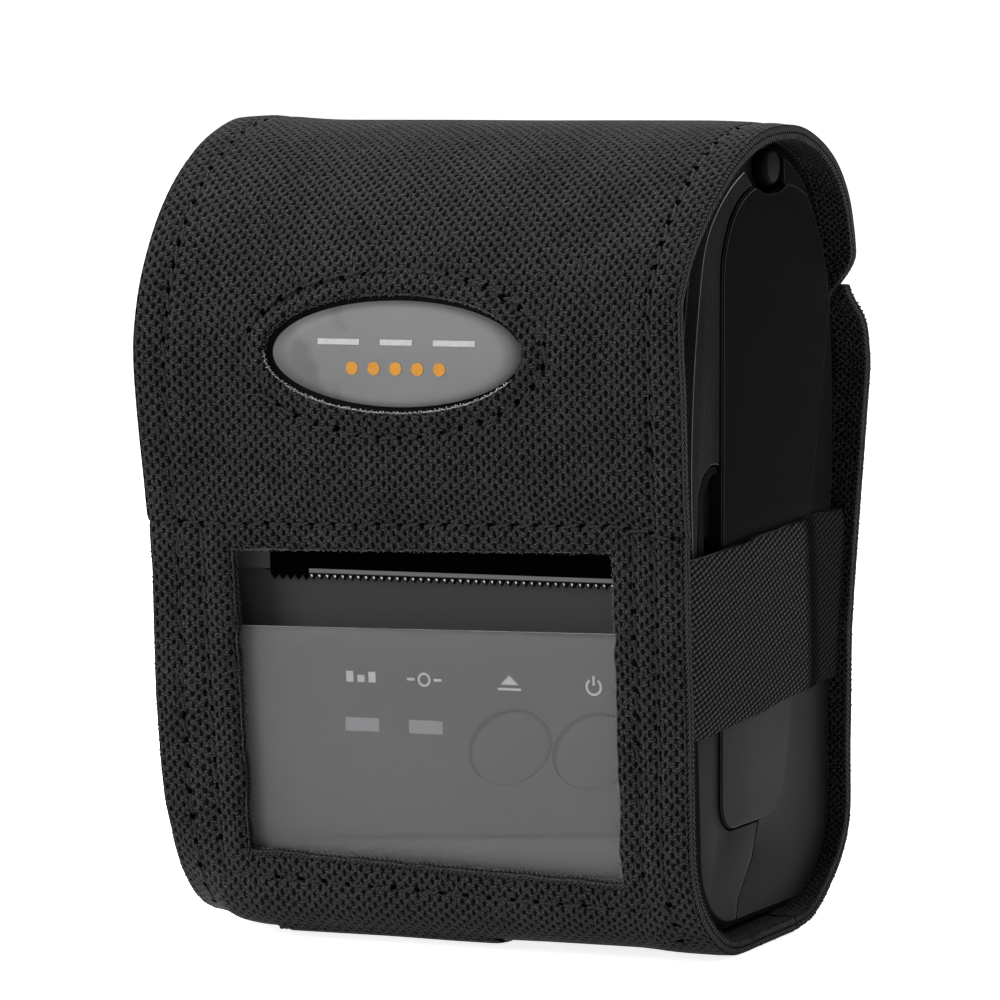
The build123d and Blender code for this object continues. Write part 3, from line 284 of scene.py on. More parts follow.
def moulded_plastic(name, color, light, rough_low, rough_high, shine, grain=0.02, low_shine=None):
    """Matte moulded plastic with a fine spark grain and handling marks, shinier low down if asked."""
    s = Shader(name)
    place = s.object_coordinates()
    smudge = s.noise(place, 45.0, 3, 0.6)
    speckled = s.math("ADD", smudge, s.sway(place, 2600.0, 2, 1.2, 0.7))
    s.feed(Base_Color=s.ramp(speckled, (0.1, color), (0.95, light)),
           Roughness=s.ramp(smudge, (0.3, rough_low), (0.7, rough_high)),
           Normal=s.bump(s.noise(place, 9000.0, 2, 0.6), 0.5, grain * MM))
    s.set(Specular_IOR_Level=shine)
    if low_shine is not None:
        height = s.math("MULTIPLY", s.object_axis("Z"), 10.0)
        s.feed(Specular_IOR_Level=s.ramp(height, (0.25, low_shine), (0.6, shine)))
    return s.material


def brushed_metal(name, color, rough):
    s = Shader(name)
    lines = s.noise(s.object_coordinates(), 400.0, 3, 0.6, (1.0, 30.0, 30.0))
    dim = tuple(c * 0.85 for c in color)
    s.feed(Base_Color=s.ramp(lines, (0.2, dim), (0.8, color)),
           Roughness=s.ramp(lines, (0.3, rough * 0.8), (0.7, rough * 1.2)),
           Normal=s.bump(lines, 0.15, 0.02 * MM))
    s.set(Metallic=1.0)
    return s.material


def badge_metal(name):
    """Satin plate with a cloudy tone, lighter towards the right as painted light and darker along the left as
    painted shade.
    """
    s = Shader(name)
    place = s.object_coordinates()
    cloud = s.noise(place, 60.0, 3, 0.6)
    # Painted light and shade: darker along the left and lighter towards the right, as light falls across the
    # curved plate.
    side = s.math("MULTIPLY", s.math("ADD", s.object_axis("X"), 22 * MM), 10.0)
    cloud_and_painted_side_light = s.math("ADD", s.math("MULTIPLY", cloud, 0.5), side)
    dull, satin, lit_right_grey = (0.095, 0.095, 0.097), (0.135, 0.135, 0.138), (0.165, 0.165, 0.168)
    s.feed(Base_Color=s.ramp(cloud_and_painted_side_light, (0.30, dull), (0.33, satin), (0.9, lit_right_grey)),
           Roughness=s.ramp(cloud, (0.3, 0.45), (0.75, 0.58)),
           Normal=s.bump(s.noise(place, 2500.0, 2, 0.6), 0.2, 0.02 * MM))
    s.set(Specular_IOR_Level=0.2)
    return s.material


def tear_steel(name, first_tooth, pitch):
    """Dull grey strip above black teeth: the strip's grey is painted in place of the steel's reflection, the
    teeth's black is painted shadow, and each tooth has a small painted glint on its left.
    """
    s = Shader(name)
    height = s.math("MULTIPLY", s.math("SUBTRACT", s.object_axis("Z"), 51.6 * MM), 1000 / 3.0)
    from_first = s.math("SUBTRACT", s.object_axis("X"), first_tooth * MM)
    turn = s.math("MULTIPLY", from_first, 2 * math.pi / (pitch * MM))
    painted_glint = s.ramp(s.math("SINE", turn), (0.35, 0.0), (0.6, 1.0))
    painted_glint = s.math("MULTIPLY", painted_glint, s.ramp(height, (0.20, 0.0), (0.23, 1.0), (0.30, 1.0), (0.33, 0.0)))
    # Painted shadow on the teeth below the strip, and painted glints on the teeth.
    tone = s.math("ADD", s.ramp(height, (0.38, 0.003), (0.44, 0.13)), s.math("MULTIPLY", painted_glint, 0.6))
    s.feed(Base_Color=tone)
    s.set(Roughness=0.6, Specular_IOR_Level=0.0)
    return s.material


def hazy_film(name, bend_s):
    """Soft clear film with a milky haze, fine scuffs and a duller bent foot, whose colour is lightened low
    down as painted light against the sill's shadow.
    """
    s = Shader(name)
    uv, across, along = s.flat_coordinates()
    haze = s.math("MULTIPLY", s.noise(uv, 0.035, 3, 0.5), 0.10)
    cover = s.math("ADD", haze, s.sway(uv, 0.9, 4, 0.012, 0.7, (0.25, 1.0, 1.0)))
    bow = s.math("ADD", along, s.math("MULTIPLY", across, -0.055))
    foot = s.ramp(s.math("MULTIPLY", s.math("SUBTRACT", bow, bend_s), 0.5), (0.0, 1.0), (0.6, 0.0))
    cover = s.math("SUBTRACT", s.math("ADD", cover, 0.22), s.math("MULTIPLY", foot, 0.02))
    clear = s.node("ShaderNodeBsdfTransparent")
    clear.inputs["Color"].default_value = (0.96, 0.965, 0.97, 1)
    mix = s.node("ShaderNodeMixShader")
    s.link(cover, mix.inputs["Fac"])
    s.link(clear.outputs[0], mix.inputs[1])
    s.link(s.surface.outputs[0], mix.inputs[2])
    s.link(mix.outputs[0], s.output.inputs["Surface"])
    # The dip at the bend is the film's duller fold; the rise towards the sill is painted light that offsets
    # the sill's shadow.
    s.feed(Base_Color=s.ramp(foot, (0.0, 0.22), (0.2, 0.18), (1.0, 0.27)))
    s.set(Roughness=0.45, Specular_IOR_Level=0.15)
    return s.material


def plain(name, color, rough, shine=0.3):
    """Even finish with faint spots, for small pieces."""
    s = Shader(name)
    spot = s.noise(s.object_coordinates(), 900.0, 3, 0.6)
    dim = tuple(c * 0.82 for c in color)
    s.feed(Base_Color=s.ramp(spot, (0.3, dim), (0.7, color)), Normal=s.bump(spot, 0.3, 0.02 * MM))
    s.set(Roughness=rough, Specular_IOR_Level=shine)
    return s.material


blade_left, tooth_pitch = -18.65, 1.23
blade_start = blade_left - 0.1
film_bend_s = 40.5
weave = woven_nylon("woven_nylon", 0.0012, 0.009, 0.055)
lining = woven_nylon("case_lining", 0.0006, 0.006, 0.06, 0.62, 0.56, 0.3)
cut_edge = overlock_edge("overlocked_edge", 0.001, 0.07)
raw_edge = plain_cloth("raw_cut_edge", 0.001, 0.008, 5.0)
knit = elastic_knit("elastic_knit")
thread_black = plain("black_sewing_thread", (0.016, 0.016, 0.0165), 0.5, shine=0.1)
edge_thread = plain("edge_binding_thread", (0.038, 0.038, 0.039), 0.6, shine=0.0)
fray_grey = plain("loose_fibre", (0.11, 0.11, 0.112), 0.6)
needle_hole = plain("needle_hole_shadow", (0.0012, 0.0012, 0.0012), 0.9, shine=0.0)
fray_light = plain("loose_fibre_light", (0.5, 0.5, 0.5), 0.6)
housing_black = moulded_plastic("printer_housing_black", (0.0055, 0.0055, 0.0058), (0.008, 0.008, 0.0083),
                                0.34, 0.46, 0.001, 0.03, low_shine=0.022)
lid_black = moulded_plastic("printer_lid_black", (0.008, 0.008, 0.0083), (0.022, 0.022, 0.0225),
                            0.34, 0.46, 0.002, 0.03)
# Lighter finish for the rounded edges of the lid and rear housing: a painted highlight on the same black
# plastic.
painted_edge_highlight = moulded_plastic("printer_housing_painted_edge_highlight", (0.06, 0.06, 0.061), (0.14, 0.14, 0.142),
                              0.3, 0.5, 0.25)
# Grey for the forward faces of the black front housing and for a plate on the lid's left front: a lit copy of
# the same black plastic, painted light.
painted_lit_front_grey = moulded_plastic("printer_front_painted_lit_grey", (0.038, 0.038, 0.039), (0.044, 0.044, 0.045),
                             0.5, 0.62, 0.25, 0.003)
# Darker copy of the front's grey for the face under the tear edge: painted shade.
slot_painted_shade_grey = moulded_plastic("tear_slot_painted_shade_grey", (0.024, 0.024, 0.0245), (0.028, 0.028, 0.0285),
                            0.55, 0.65, 0.1, 0.003)
button_grey = moulded_plastic("panel_button", (0.036, 0.036, 0.037), (0.044, 0.044, 0.045),
                              0.48, 0.6, 0.25, 0.003)
pin_black = moulded_plastic("hinge_pin_black", (0.005, 0.005, 0.0053), (0.008, 0.008, 0.0083),
                            0.28, 0.4, 0.01)
blade_steel = tear_steel("tear_blade_steel", blade_start, tooth_pitch)
shaft_steel = brushed_metal("shaft_steel", (0.62, 0.62, 0.63), 0.3)
sheet_metal = brushed_metal("chassis_sheet", (0.55, 0.56, 0.57), 0.35)
gear_white = plain("gear_acetal", (0.72, 0.71, 0.67), 0.42)
rubber = plain("platen_rubber", (0.02, 0.02, 0.022), 0.75)
board_green = plain("board_green", (0.02, 0.13, 0.06), 0.4)
ceramic_dark = plain("head_ceramic", (0.05, 0.045, 0.04), 0.3)
lens_grey = plain("lamp_lens", (0.45, 0.45, 0.455), 0.35)
badge_grey = badge_metal("badge_plate")
film = hazy_film("window_film", film_bend_s)
# Near-white cut edges of the clear film: a painted highlight.
film_edge_highlight = plain("window_film_painted_edge_highlight", (0.9, 0.9, 0.905), 0.4)
# Dark flat rings laid round the buttons: painted shade in the grooves.
groove_painted_shade = plain("button_groove_painted_shade", (0.004, 0.004, 0.004), 0.8, shine=0.0)
# Flat black without gloss for the comb teeth at the left and for the band over the blade: painted shadow.
comb_and_slot_shadow_black = plain("tear_comb_and_slot_painted_shadow", (0.0008, 0.0008, 0.0008), 0.8, shine=0.0)
amber = plain("badge_amber", (0.50, 0.21, 0.012), 0.5)
badge_light = plain("badge_light_grey", (0.42, 0.42, 0.43), 0.5)
mark_white = plain("panel_mark_white", (0.95, 0.95, 0.95), 0.6)
pack_wrap = plain("battery_wrap", (0.05, 0.055, 0.07), 0.35)
patch_pile = plain_cloth("hook_and_loop", 0.008, 0.03, 4.0)

finish_of_slot = {
    "woven_nylon": weave, "elastic": knit, "hook_tape": patch_pile, "clear_film": film, "badge": badge_grey,
    "housing": housing_black, "buttons": button_grey, "steel": shaft_steel, "platen_rubber": rubber,
    "gear_plastic": gear_white, "sheet_metal": sheet_metal, "ceramic": ceramic_dark,
    "circuit_board": board_green, "lamp_lens": lens_grey, "battery_wrap": pack_wrap,
}
slot_of_node = {part["node"]: part["material_slot"] for part in frame["record"]["subparts"]}
for node_name, node_object in nodes.items():
    node_object.data.materials.clear()
    node_object.data.materials.append(finish_of_slot[slot_of_node[node_name]])
    node_object.data.polygons.foreach_set("material_index", [0] * len(node_object.data.polygons))


# Section lines of the case, in the side view (y, z)


def arc(center, radius, start, end, step=4.0):
    """Points on an arc from the start angle to the end angle, in degrees."""
    count = max(2, int(abs(end - start) / step) + 1)
    return [(center[0] + radius * math.cos(math.radians(start + (end - start) * k / count)),
             center[1] + radius * math.sin(math.radians(start + (end - start) * k / count)))
            for k in range(count + 1)]


def rounded(corners, radii, step=6.0):
    """Polyline through the corners with each inner corner rounded."""
    points = [corners[0]]
    for before, corner, after, radius in zip(corners, corners[1:], corners[2:], radii):
        a = (Vector(before) - Vector(corner)).normalized()
        b = (Vector(after) - Vector(corner)).normalized()
        half = a.angle(b) / 2
        center = Vector(corner) + (a + b).normalized() * (radius / math.sin(half))
        start = Vector(corner) + a * (radius / math.tan(half)) - center
        end = Vector(corner) + b * (radius / math.tan(half)) - center
        turn = start.angle_signed(end)
        count = max(2, int(math.degrees(abs(turn)) / step) + 1)
        for k in range(count + 1):
            angle = -turn * k / count
            points.append((center.x + start.x * math.cos(angle) - start.y * math.sin(angle),
                           center.y + start.x * math.sin(angle) + start.y * math.cos(angle)))
    points.append(corners[-1])
    return points


class SectionLine:
    """Section line with its length as the parameter; outward is to the left of the heading."""

    def __init__(self, points):
        line = np.array(points, float)
        keep = [0] + [k for k in range(1, len(line)) if np.linalg.norm(line[k] - line[k - 1]) > 1e-6]
        self.line = line[keep]
        self.at = np.concatenate([[0], np.cumsum(np.linalg.norm(np.diff(self.line, axis=0), axis=1))])
        self.length = float(self.at[-1])

    def point(self, s):
        return np.array([np.interp(s, self.at, self.line[:, 0]), np.interp(s, self.at, self.line[:, 1])])

    def outward(self, s):
        heading = self.point(min(s + 0.8, self.length)) - self.point(max(s - 0.8, 0.0))
        heading /= np.linalg.norm(heading)
        return np.array([-heading[1], heading[0]])

    def length_at(self, test):
        """First length whose point passes the test."""
        for s in np.arange(0, self.length, 0.05):
            if test(self.point(s)):
                return float(s)
        raise ValueError("no such point on the line")


def smooth_step(value, low, high):
    t = min(max((value - low) / (high - low), 0.0), 1.0)
    return t * t * (3 - 2 * t)


rng = np.random.default_rng(11)
wobble_table = rng.normal(0, 1, 97)


def wobble(place, wave, seed):
    """Slow smooth unevenness, about -1 to 1."""
    k = place / wave + seed * 13.7
    i = int(math.floor(k))
    f = smooth_step(k - i, 0, 1)
    return (wobble_table[i % 97] * (1 - f) + wobble_table[(i + 1) % 97] * f) * 0.6


# Driving sizes of the case, its box taken from the frame
CLOTH = 2.1
HALF = round(cad_box[1][0] / MM, 3)
case_front, case_top = round(cad_box[0][1] / MM, 3), round(cad_box[1][2] / MM, 3)
floor_z, toe_radius = 1.2, 15.5
arch_radius, crown_flat, crown_radius, nape_radius, nape_turn = 34.0, 2.5, 25.8, 17.3, 53.13
tongue_back, tongue_tip_z = 26.4, case_top - 38.0
back_top, back_bulge, back_waist, back_heel = (29.9, 89.5), (31.3, 77.5), (22.4, 40.0), (20.2, floor_z)
back_radii = [8.0, 60.0, 16.0]
seam_z, window_low, window_high, film_low, film_high = 60.0, 12.4, 56.3, 10.2, 46.0
window_x = (-29.0, 30.2)
badge_z = 84.4

arch_center = (case_front + arch_radius, case_top - arch_radius)
crown_center = (arch_center[0] + crown_flat, case_top - crown_radius)
nape_center = (tongue_back - nape_radius, 95.0)
front_line = SectionLine(
    rounded([(0.0, floor_z), (case_front, floor_z), (case_front, arch_center[1])], [toe_radius])
    + arc(arch_center, arch_radius, 180, 90) + arc(crown_center, crown_radius, 90, nape_turn)
    + arc(nape_center, nape_radius, nape_turn, 0) + [(tongue_back, tongue_tip_z)])
back_line = SectionLine(rounded([back_top, back_bulge, back_waist, back_heel, (0.0, floor_z)], back_radii))


def front_length(z):
    """Length of the front line where it first reaches a height."""
    return front_line.length_at(lambda p: p[0] < 0 and p[1] >= z)


seam_s = front_length(seam_z)
window_s = (front_length(window_low), seam_s - (seam_z - window_high))
film_s = (front_length(film_low), seam_s - (seam_z - film_high))
tongue_s = front_line.length_at(lambda p: p[0] > 20 and p[1] <= 97.0)
badge_center = (-2.3, front_length(badge_z))
badge_hole, badge_seam = (20.3, 8.5), 3.3
hem_x = 37.4
tab_x, tab_s = (-27.8, 7.5), 24.5
left_x, right_x, low_s = window_x[0] - 4.5, window_x[1] + 3.5, window_s[0] - 3.5

# Sideways and lengthways shift of the window's corners, by (right side, upper side)
corner_shift = {(0, 0): (1.4, 1.2), (1, 0): (0.4, -1.2), (0, 1): (0.3, 0.0), (1, 1): (0.4, 1.3)}


def window_pull(x, s):
    """How far the sewn window opening is out of square at a place on the front cloth."""
    u = min(max((x - window_x[0]) / (window_x[1] - window_x[0]), 0), 1)
    v = min(max((s - window_s[0]) / (window_s[1] - window_s[0]), 0), 1)
    off = math.hypot(max(window_x[0] - x, x - window_x[1], 0), max(window_s[0] - s, s - window_s[1], 0))
    fade = 1 - smooth_step(off, 3.0, 9.5)
    pull = [sum(corner_shift[(i, j)][axis] * (u if i else 1 - u) * (v if j else 1 - v)
                for i in (0, 1) for j in (0, 1)) for axis in (0, 1)]
    return pull[0] * fade, pull[1] * fade


# How the free edges stray from the plain section: length along the line, push outwards, push sideways
left_edge = np.array([
    (0, 0.8, 0.0), (12, 0.3, -0.3), (20, -1.3, -0.8), (25, -1.9, -1.1), (30, -2.1, -1.3),
    (35, -2.0, -1.3), (40, -1.8, -1.1), (45, -1.0, -0.6), (50, -0.6, -0.4), (60, -0.2, -0.2),
    (70, -0.3, -0.25), (78, -0.4, -0.3), (85, 0.0, 0.0), (90, 0.2, 0.1), (95, 0.5, 0.3),
    (100, 0.8, 0.45), (105, 1.0, 0.6), (110, 1.15, 0.7),
    (125, 1.0, 0.6), (140, 0.8, 0.5), (155, 1.0, 0.6), (165, 0.6, 0.3), (180, 0.0, 0.0), (212, 0.0, 0.0)]).T
right_edge = np.array([
    (0, 1.1, 0.0), (15, 1.2, -0.1), (21, 1.1, -0.2), (27, 0.7, -0.3), (33, 0.5, -0.4), (45, 0.3, -0.4),
    (60, 0.1, -0.35), (105, 0.1, -0.35), (111, 0.2, -0.7), (117, 0.6, -1.2), (123, 0.5, -0.9),
    (129, 0.3, -0.4), (135, 0.1, -0.1), (141, 0.0, 0.0), (147, -0.1, 0.0), (159, -0.3, 0.0),
    (171, -0.5, 0.0), (183, -0.4, 0.0), (190, -0.2, 0.0), (195, 0.4, 0.0), (203, 1.0, 0.0),
    (212, 1.0, 0.0)]).T
back_edge = np.array([
    (0, 0.3), (4, 0.0), (12, -0.1), (60, -0.2), (72, -0.3), (78, -0.4), (84, -1.0), (89, -1.3), (93, -0.8),
    (97, 0.1), (100, 0.7), (103.6, 1.05)]).T


def edge_stray(x, s):
    """Outward and sideways push of the front cloth near its free edges."""
    table = right_edge if x > 0 else left_edge
    near = smooth_step(abs(x), 27.0, HALF) ** 1.3
    outwards, sideways = np.interp(s, table[0], table[1]) * near, np.interp(s, table[0], table[2]) * near
    return outwards, sideways * (1 if x > 0 else -1)


def seam_dip(off, depth=0.34, width=0.55):
    """Narrow furrow that a row of stitches pulls into the cloth."""
    return depth * math.exp(-(off / width) ** 2)


def front_relief(x, s):
    """Height of the front cloth over its plain section: soft edges, a puckered seam and a full arch."""
    z = front_line.point(s)[1]
    edge = smooth_step(abs(x), 38.5, HALF)
    rise = -0.25 * edge ** 1.5 + 0.10 * edge * wobble(s, 8.0, 1 if x > 0 else 2) + edge_stray(x, s)[0]
    rise += 0.12 * wobble(s, 11.0, 3) * wobble(x, 15.0, 4)
    inward = 1 - smooth_step(abs(x), 33.0, 41.0)
    fullness = 1.3 * math.exp(-((s - 29.0) / 6.0) ** 2) + 0.45 * (1 - smooth_step(s, 24.0, 34.0))
    rise += inward * fullness * smooth_step(s, 0.0, 10.0)
    tab = smooth_step(x, tab_x[0], tab_x[0] + 1.6) * (1 - smooth_step(x, tab_x[1] - 1.6, tab_x[1]))
    rise += 0.6 * tab * (1 - smooth_step(s, tab_s - 0.6, tab_s + 1.2))
    seam = math.exp(-((s - seam_s) / 3.2) ** 2)
    rise -= 0.25 * seam + seam_dip(s - seam_s)
    if s < seam_s:
        off = max(window_x[0] - x, x - window_x[1], window_s[0] - s, s - window_s[1])
        rise -= 0.45 * (1 - smooth_step(off, 0.0, 1.6))
        if s > low_s - 1:
            rise -= max(seam_dip(x - left_x), seam_dip(x - right_x))
        if left_x < x < right_x + 4:
            rise -= seam_dip(s - low_s)
        if tab_x[0] < x < tab_x[1]:
            rise -= seam_dip(s - tab_s + 1.2)
    rise -= seam_dip(abs(x) - hem_x) * smooth_step(z, 12.0, 18.0)
    if s > seam_s:
        ring = badge_distance(x, s)
        rise -= seam_dip(ring - badge_seam, 0.4, 0.8)
        rise += 0.30 * math.exp(-((ring - 1.2) / 1.1) ** 2)
    return rise


def badge_distance(x, s):
    """Rough distance outside the oval opening around the badge."""
    dx, ds = x - badge_center[0], s - badge_center[1]
    reach = math.hypot(dx / badge_hole[0], ds / badge_hole[1])
    if reach < 1e-6:
        return -badge_hole[1]
    return math.hypot(dx, ds) * (1 - 1 / reach)


def front_point(x, s, lift=0.0):
    """Place and outward direction on the front cloth, lift above its face, in millimetres."""
    dx, ds = window_pull(x, s)
    at = min(max(s + ds, 0.0), front_line.length)
    p, n = front_line.point(at), front_line.outward(at)
    narrow = 1 - 0.14 * smooth_step(s, tongue_s + 3, tongue_s + 13)
    rise = front_relief(x, s) + lift
    sideways = (x + dx) * narrow + edge_stray(x, s)[1]
    return np.array([sideways, p[0] + n[0] * rise, p[1] + n[1] * rise]), np.array([0.0, n[0], n[1]])


def back_point(x, s, lift=0.0):
    """Place and outward direction on the back panel and the floor of the case."""
    p, n = back_line.point(s), back_line.outward(s)
    top = 1 - smooth_step(s, 0.0, 9.0)
    near = smooth_step(abs(x), 30.0, HALF)
    edge = smooth_step(abs(x), 38.5, HALF)
    rise = -0.2 * edge ** 1.5 - 2.4 * top ** 2 * near + 0.12 * edge * wobble(s, 9.0, 5 if x > 0 else 6)
    rise += np.interp(s, back_edge[0], back_edge[1]) * near - seam_dip(abs(x) - hem_x)
    rise += 0.15 * wobble(s, 13.0, 7) * wobble(x, 17.0, 8) + lift
    narrow = 1 - 0.035 * top ** 2
    return np.array([x * narrow, p[0] + n[0] * rise, p[1] + n[1] * rise]), np.array([0.0, n[0], n[1]])


def ticks(start, end, step, *marks):
    """Evenly spaced values that also hold the marks."""
    stops = sorted({start, end, *[m for m in marks if start < m < end]})
    values = [start]
    for a, b in zip(stops, stops[1:]):
        count = max(1, int(round((b - a) / step)))
        values += [a + (b - a) * k / count for k in range(1, count + 1)]
    return np.array(values)


def link_mesh(name, verts, faces, materials, uvs=None, slots=None, smooth=True):
    """New object at the origin from vertices in millimetres."""
    mesh = bpy.data.meshes.new(name)
    mesh.from_pydata([tuple(np.array(v) * MM) for v in verts], [], faces)
    for material in materials:
        mesh.materials.append(material)
    if slots is not None:
        mesh.polygons.foreach_set("material_index", slots)
    if uvs is not None:
        layer = mesh.uv_layers.new(name="cloth")
        layer.data.foreach_set("uv", np.array(uvs, float).ravel())
    mesh.polygons.foreach_set("use_smooth", [smooth] * len(mesh.polygons))
    mesh.validate()
    mesh.update()
    made = bpy.data.objects.new(name, mesh)
    bpy.context.collection.objects.link(made)
    return made


def cloth_shell(name, place, across, along, materials, hole=None, thickness=CLOTH, ragged=0.0, joined=()):
    """Closed cloth of real thickness; place(x, s, lift) gives its face, hole is (x0, x1, s0, s1)."""
    nx, ns = len(across), len(along)
    outer, inner = [], []
    for x in across:
        for s in along:
            shift = [0.0, 0.0]
            if hole and ragged:
                inside_x, inside_s = hole[0] <= x <= hole[1], hole[2] <= s <= hole[3]
                if inside_s and x in hole[:2]:
                    shift[0] = ragged * (wobble(s, 2.6, 20) + 0.5 * wobble(s, 0.9, 21))
                if inside_x and s in hole[2:]:
                    shift[1] = ragged * (wobble(x, 2.6, 22) + 0.5 * wobble(x, 0.9, 23))
            p, n = place(x + shift[0], s + shift[1])
            outer.append(p)
            inner.append(p - n * thickness)
    size = nx * ns
    filled = np.ones((nx - 1, ns - 1), bool)
    if hole:
        for i in range(nx - 1):
            for j in range(ns - 1):
                middle_x, middle_s = (across[i] + across[i + 1]) / 2, (along[j] + along[j + 1]) / 2
                if hole[0] < middle_x < hole[1] and hole[2] < middle_s < hole[3]:
                    filled[i, j] = False
    faces, uvs, slots = [], [], []

    def wall(a, b):
        ia, ib = a[0] * ns + a[1], b[0] * ns + b[1]
        faces.append((ia, ib, ib + size, ia + size))
        run = [across[a[0]] + along[a[1]], across[b[0]] + along[b[1]]]
        uvs.extend([(0, run[0]), (0, run[1]), (thickness, run[1]), (thickness, run[0])])
        slots.append(2)

    for i in range(nx - 1):
        for j in range(ns - 1):
            if not filled[i, j]:
                continue
            quad = [(i, j), (i + 1, j), (i + 1, j + 1), (i, j + 1)]
            ids = [q[0] * ns + q[1] for q in quad]
            faces.append(tuple(ids))
            uvs.extend((across[q[0]], along[q[1]]) for q in quad)
            slots.append(0)
            faces.append(tuple(k + size for k in reversed(ids)))
            uvs.extend((across[q[0]], along[q[1]]) for q in reversed(quad))
            slots.append(1)
            if i == 0 or not filled[i - 1, j]:
                wall((i, j), (i, j + 1))
            if i == nx - 2 or not filled[i + 1, j]:
                wall((i + 1, j + 1), (i + 1, j))
            if j == 0 or not filled[i, j - 1]:
                wall((i + 1, j), (i, j))
            if j == ns - 2 or not filled[i, j + 1]:
                wall((i, j + 1), (i + 1, j + 1))
    made = link_mesh(name, outer + inner, faces, materials, uvs, slots)
    ends = made.data.attributes.new("joined_end", "FLOAT", "POINT")
    ends.data.foreach_set("value", [float(along[k % size % ns] in joined) for k in range(2 * size)])
    return made


def soften(obj, width=0.35, segments=2, angle=50):
    """Rounded rims on a finished piece, except where it joins the next one."""
    edit = bmesh.new()
    edit.from_mesh(obj.data)
    weight = edit.edges.layers.float.new("bevel_weight_edge")
    joined = edit.verts.layers.float.get("joined_end")
    for edge in edit.edges:
        if len(edge.link_faces) == 2 and edge.calc_face_angle(0) > math.radians(angle):
            edge[weight] = 0.0 if joined and min(v[joined] for v in edge.verts) > 0.5 else 1.0
    edit.to_mesh(obj.data)
    edit.free()
    bevel = obj.modifiers.new("soft_rims", "BEVEL")
    bevel.width = width * MM
    bevel.segments = segments
    bevel.limit_method = "WEIGHT"
    return obj


def bake(obj):
    """Turns the modifiers into a plain mesh under the same name."""
    name = obj.name
    depsgraph = bpy.context.evaluated_depsgraph_get()
    depsgraph.update()
    mesh = bpy.data.meshes.new_from_object(obj.evaluated_get(depsgraph), preserve_all_data_layers=True,
                                           depsgraph=depsgraph)
    bpy.data.objects.remove(obj)
    mesh.name = name
    made = bpy.data.objects.new(name, mesh)
    bpy.context.collection.objects.link(made)
    return made


# Case: front with the window, arch and tongue, back panel

row_columns = [x + d for x in (-hem_x, hem_x, left_x, right_x, tab_x[0] + 0.8, tab_x[1] - 0.8)
               for d in (-0.8, -0.4, 0.0, 0.4, 0.8)]
row_heights = [at + d for at in (tab_s - 0.6, low_s, seam_s) for d in (-0.8, -0.4, 0.0, 0.4, 0.8)]
across = ticks(-HALF, HALF, 1.15, *window_x, *row_columns)

front_cloth = cloth_shell(
    "case_front_cloth", front_point, across, ticks(0, seam_s, 1.15, *window_s, *row_heights),
    [weave, lining, cut_edge], hole=(*window_x, *window_s), ragged=0.22, joined=(0, seam_s))
flap_cloth = cloth_shell(
    "case_flap_cloth", front_point, across, ticks(seam_s, front_line.length, 1.0, *row_heights),
    [weave, lining, cut_edge], joined=(seam_s,))
back_cloth = cloth_shell(
    "case_back_cloth", back_point, across, ticks(0, back_line.length, 1.2),
    [weave, lining, cut_edge], joined=(back_line.length,))

# Oval opening around the badge, cut part of the way through the flap

OVAL_STEPS = 72


def oval_body(name, rings, lifts, place, materials, with_uv=False):
    """Closed oval body of rings about a middle, at two lifts; place(share, k, lift) gives a vertex."""
    verts, faces = [], []
    for lift in lifts:
        verts += [place(share, k, lift) for share in rings for k in range(OVAL_STEPS)]
        verts.append(place(0.0, 0, lift))
    layer = len(verts) // 2
    rim = (len(rings) - 1) * OVAL_STEPS
    for k in range(OVAL_STEPS):
        after = (k + 1) % OVAL_STEPS
        for ring in range(0, rim, OVAL_STEPS):
            ids = (ring + k, ring + OVAL_STEPS + k, ring + OVAL_STEPS + after, ring + after)
            faces.append(ids)
            faces.append(tuple(layer + i for i in reversed(ids)))
        faces.append((layer - 1, k, after))
        faces.append((2 * layer - 1, layer + after, layer + k))
        faces.append((rim + k, layer + rim + k, layer + rim + after, rim + after))
    uvs = [(0, 0)] * sum(len(face) for face in faces) if with_uv else None
    return link_mesh(name, verts, faces, materials, uvs=uvs)


def pocket_place(share, k, lift):
    """Vertex of the opening's cutter, ragged at its rim."""
    angle = 2 * math.pi * k / OVAL_STEPS
    ragged = 1 + (0.012 * wobble(k, 2.3, 31) if share == 1.0 else 0.0)
    p, n = front_point(badge_center[0] + badge_hole[0] * share * ragged * math.cos(angle),
                       badge_center[1] + badge_hole[1] * share * ragged * math.sin(angle))
    base = front_line.point(badge_center[1] + badge_hole[1] * share * math.sin(angle))
    return p[0], base[0] + n[1] * lift, base[1] + n[2] * lift


pocket_cutter = oval_body("badge_pocket_cutter", (0.35, 0.7, 1.0), (2.5, -1.1), pocket_place, [raw_edge],
                          with_uv=True)
opening = flap_cloth.modifiers.new("badge_opening", "BOOLEAN")
opening.operation = "DIFFERENCE"
opening.object = pocket_cutter
opening.solver = "EXACT"
opening.material_mode = "TRANSFER"
flap_cloth = bake(flap_cloth)
bpy.data.objects.remove(pocket_cutter)
for piece in (front_cloth, flap_cloth, back_cloth):
    soften(piece, 0.5, 3, 55)

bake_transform(front_cloth)
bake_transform(flap_cloth)
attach(back_cloth, "case_and_printer")
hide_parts("case_wrap")
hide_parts("case_wrap")
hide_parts("case_flap", "flap_tongue")


# Sewing: stitch rows and loose fibres grown along lines on the cloth


def node_group(name, inputs):
    tree = bpy.data.node_groups.new(name, "GeometryNodeTree")
    tree.interface.new_socket("Geometry", in_out="INPUT", socket_type="NodeSocketGeometry")
    for label, kind, value in inputs:
        made = tree.interface.new_socket(label, in_out="INPUT", socket_type=kind)
        made.default_value = value
    tree.interface.new_socket("Geometry", in_out="OUTPUT", socket_type="NodeSocketGeometry")
    return tree, tree.nodes.new("NodeGroupInput"), tree.nodes.new("NodeGroupOutput")


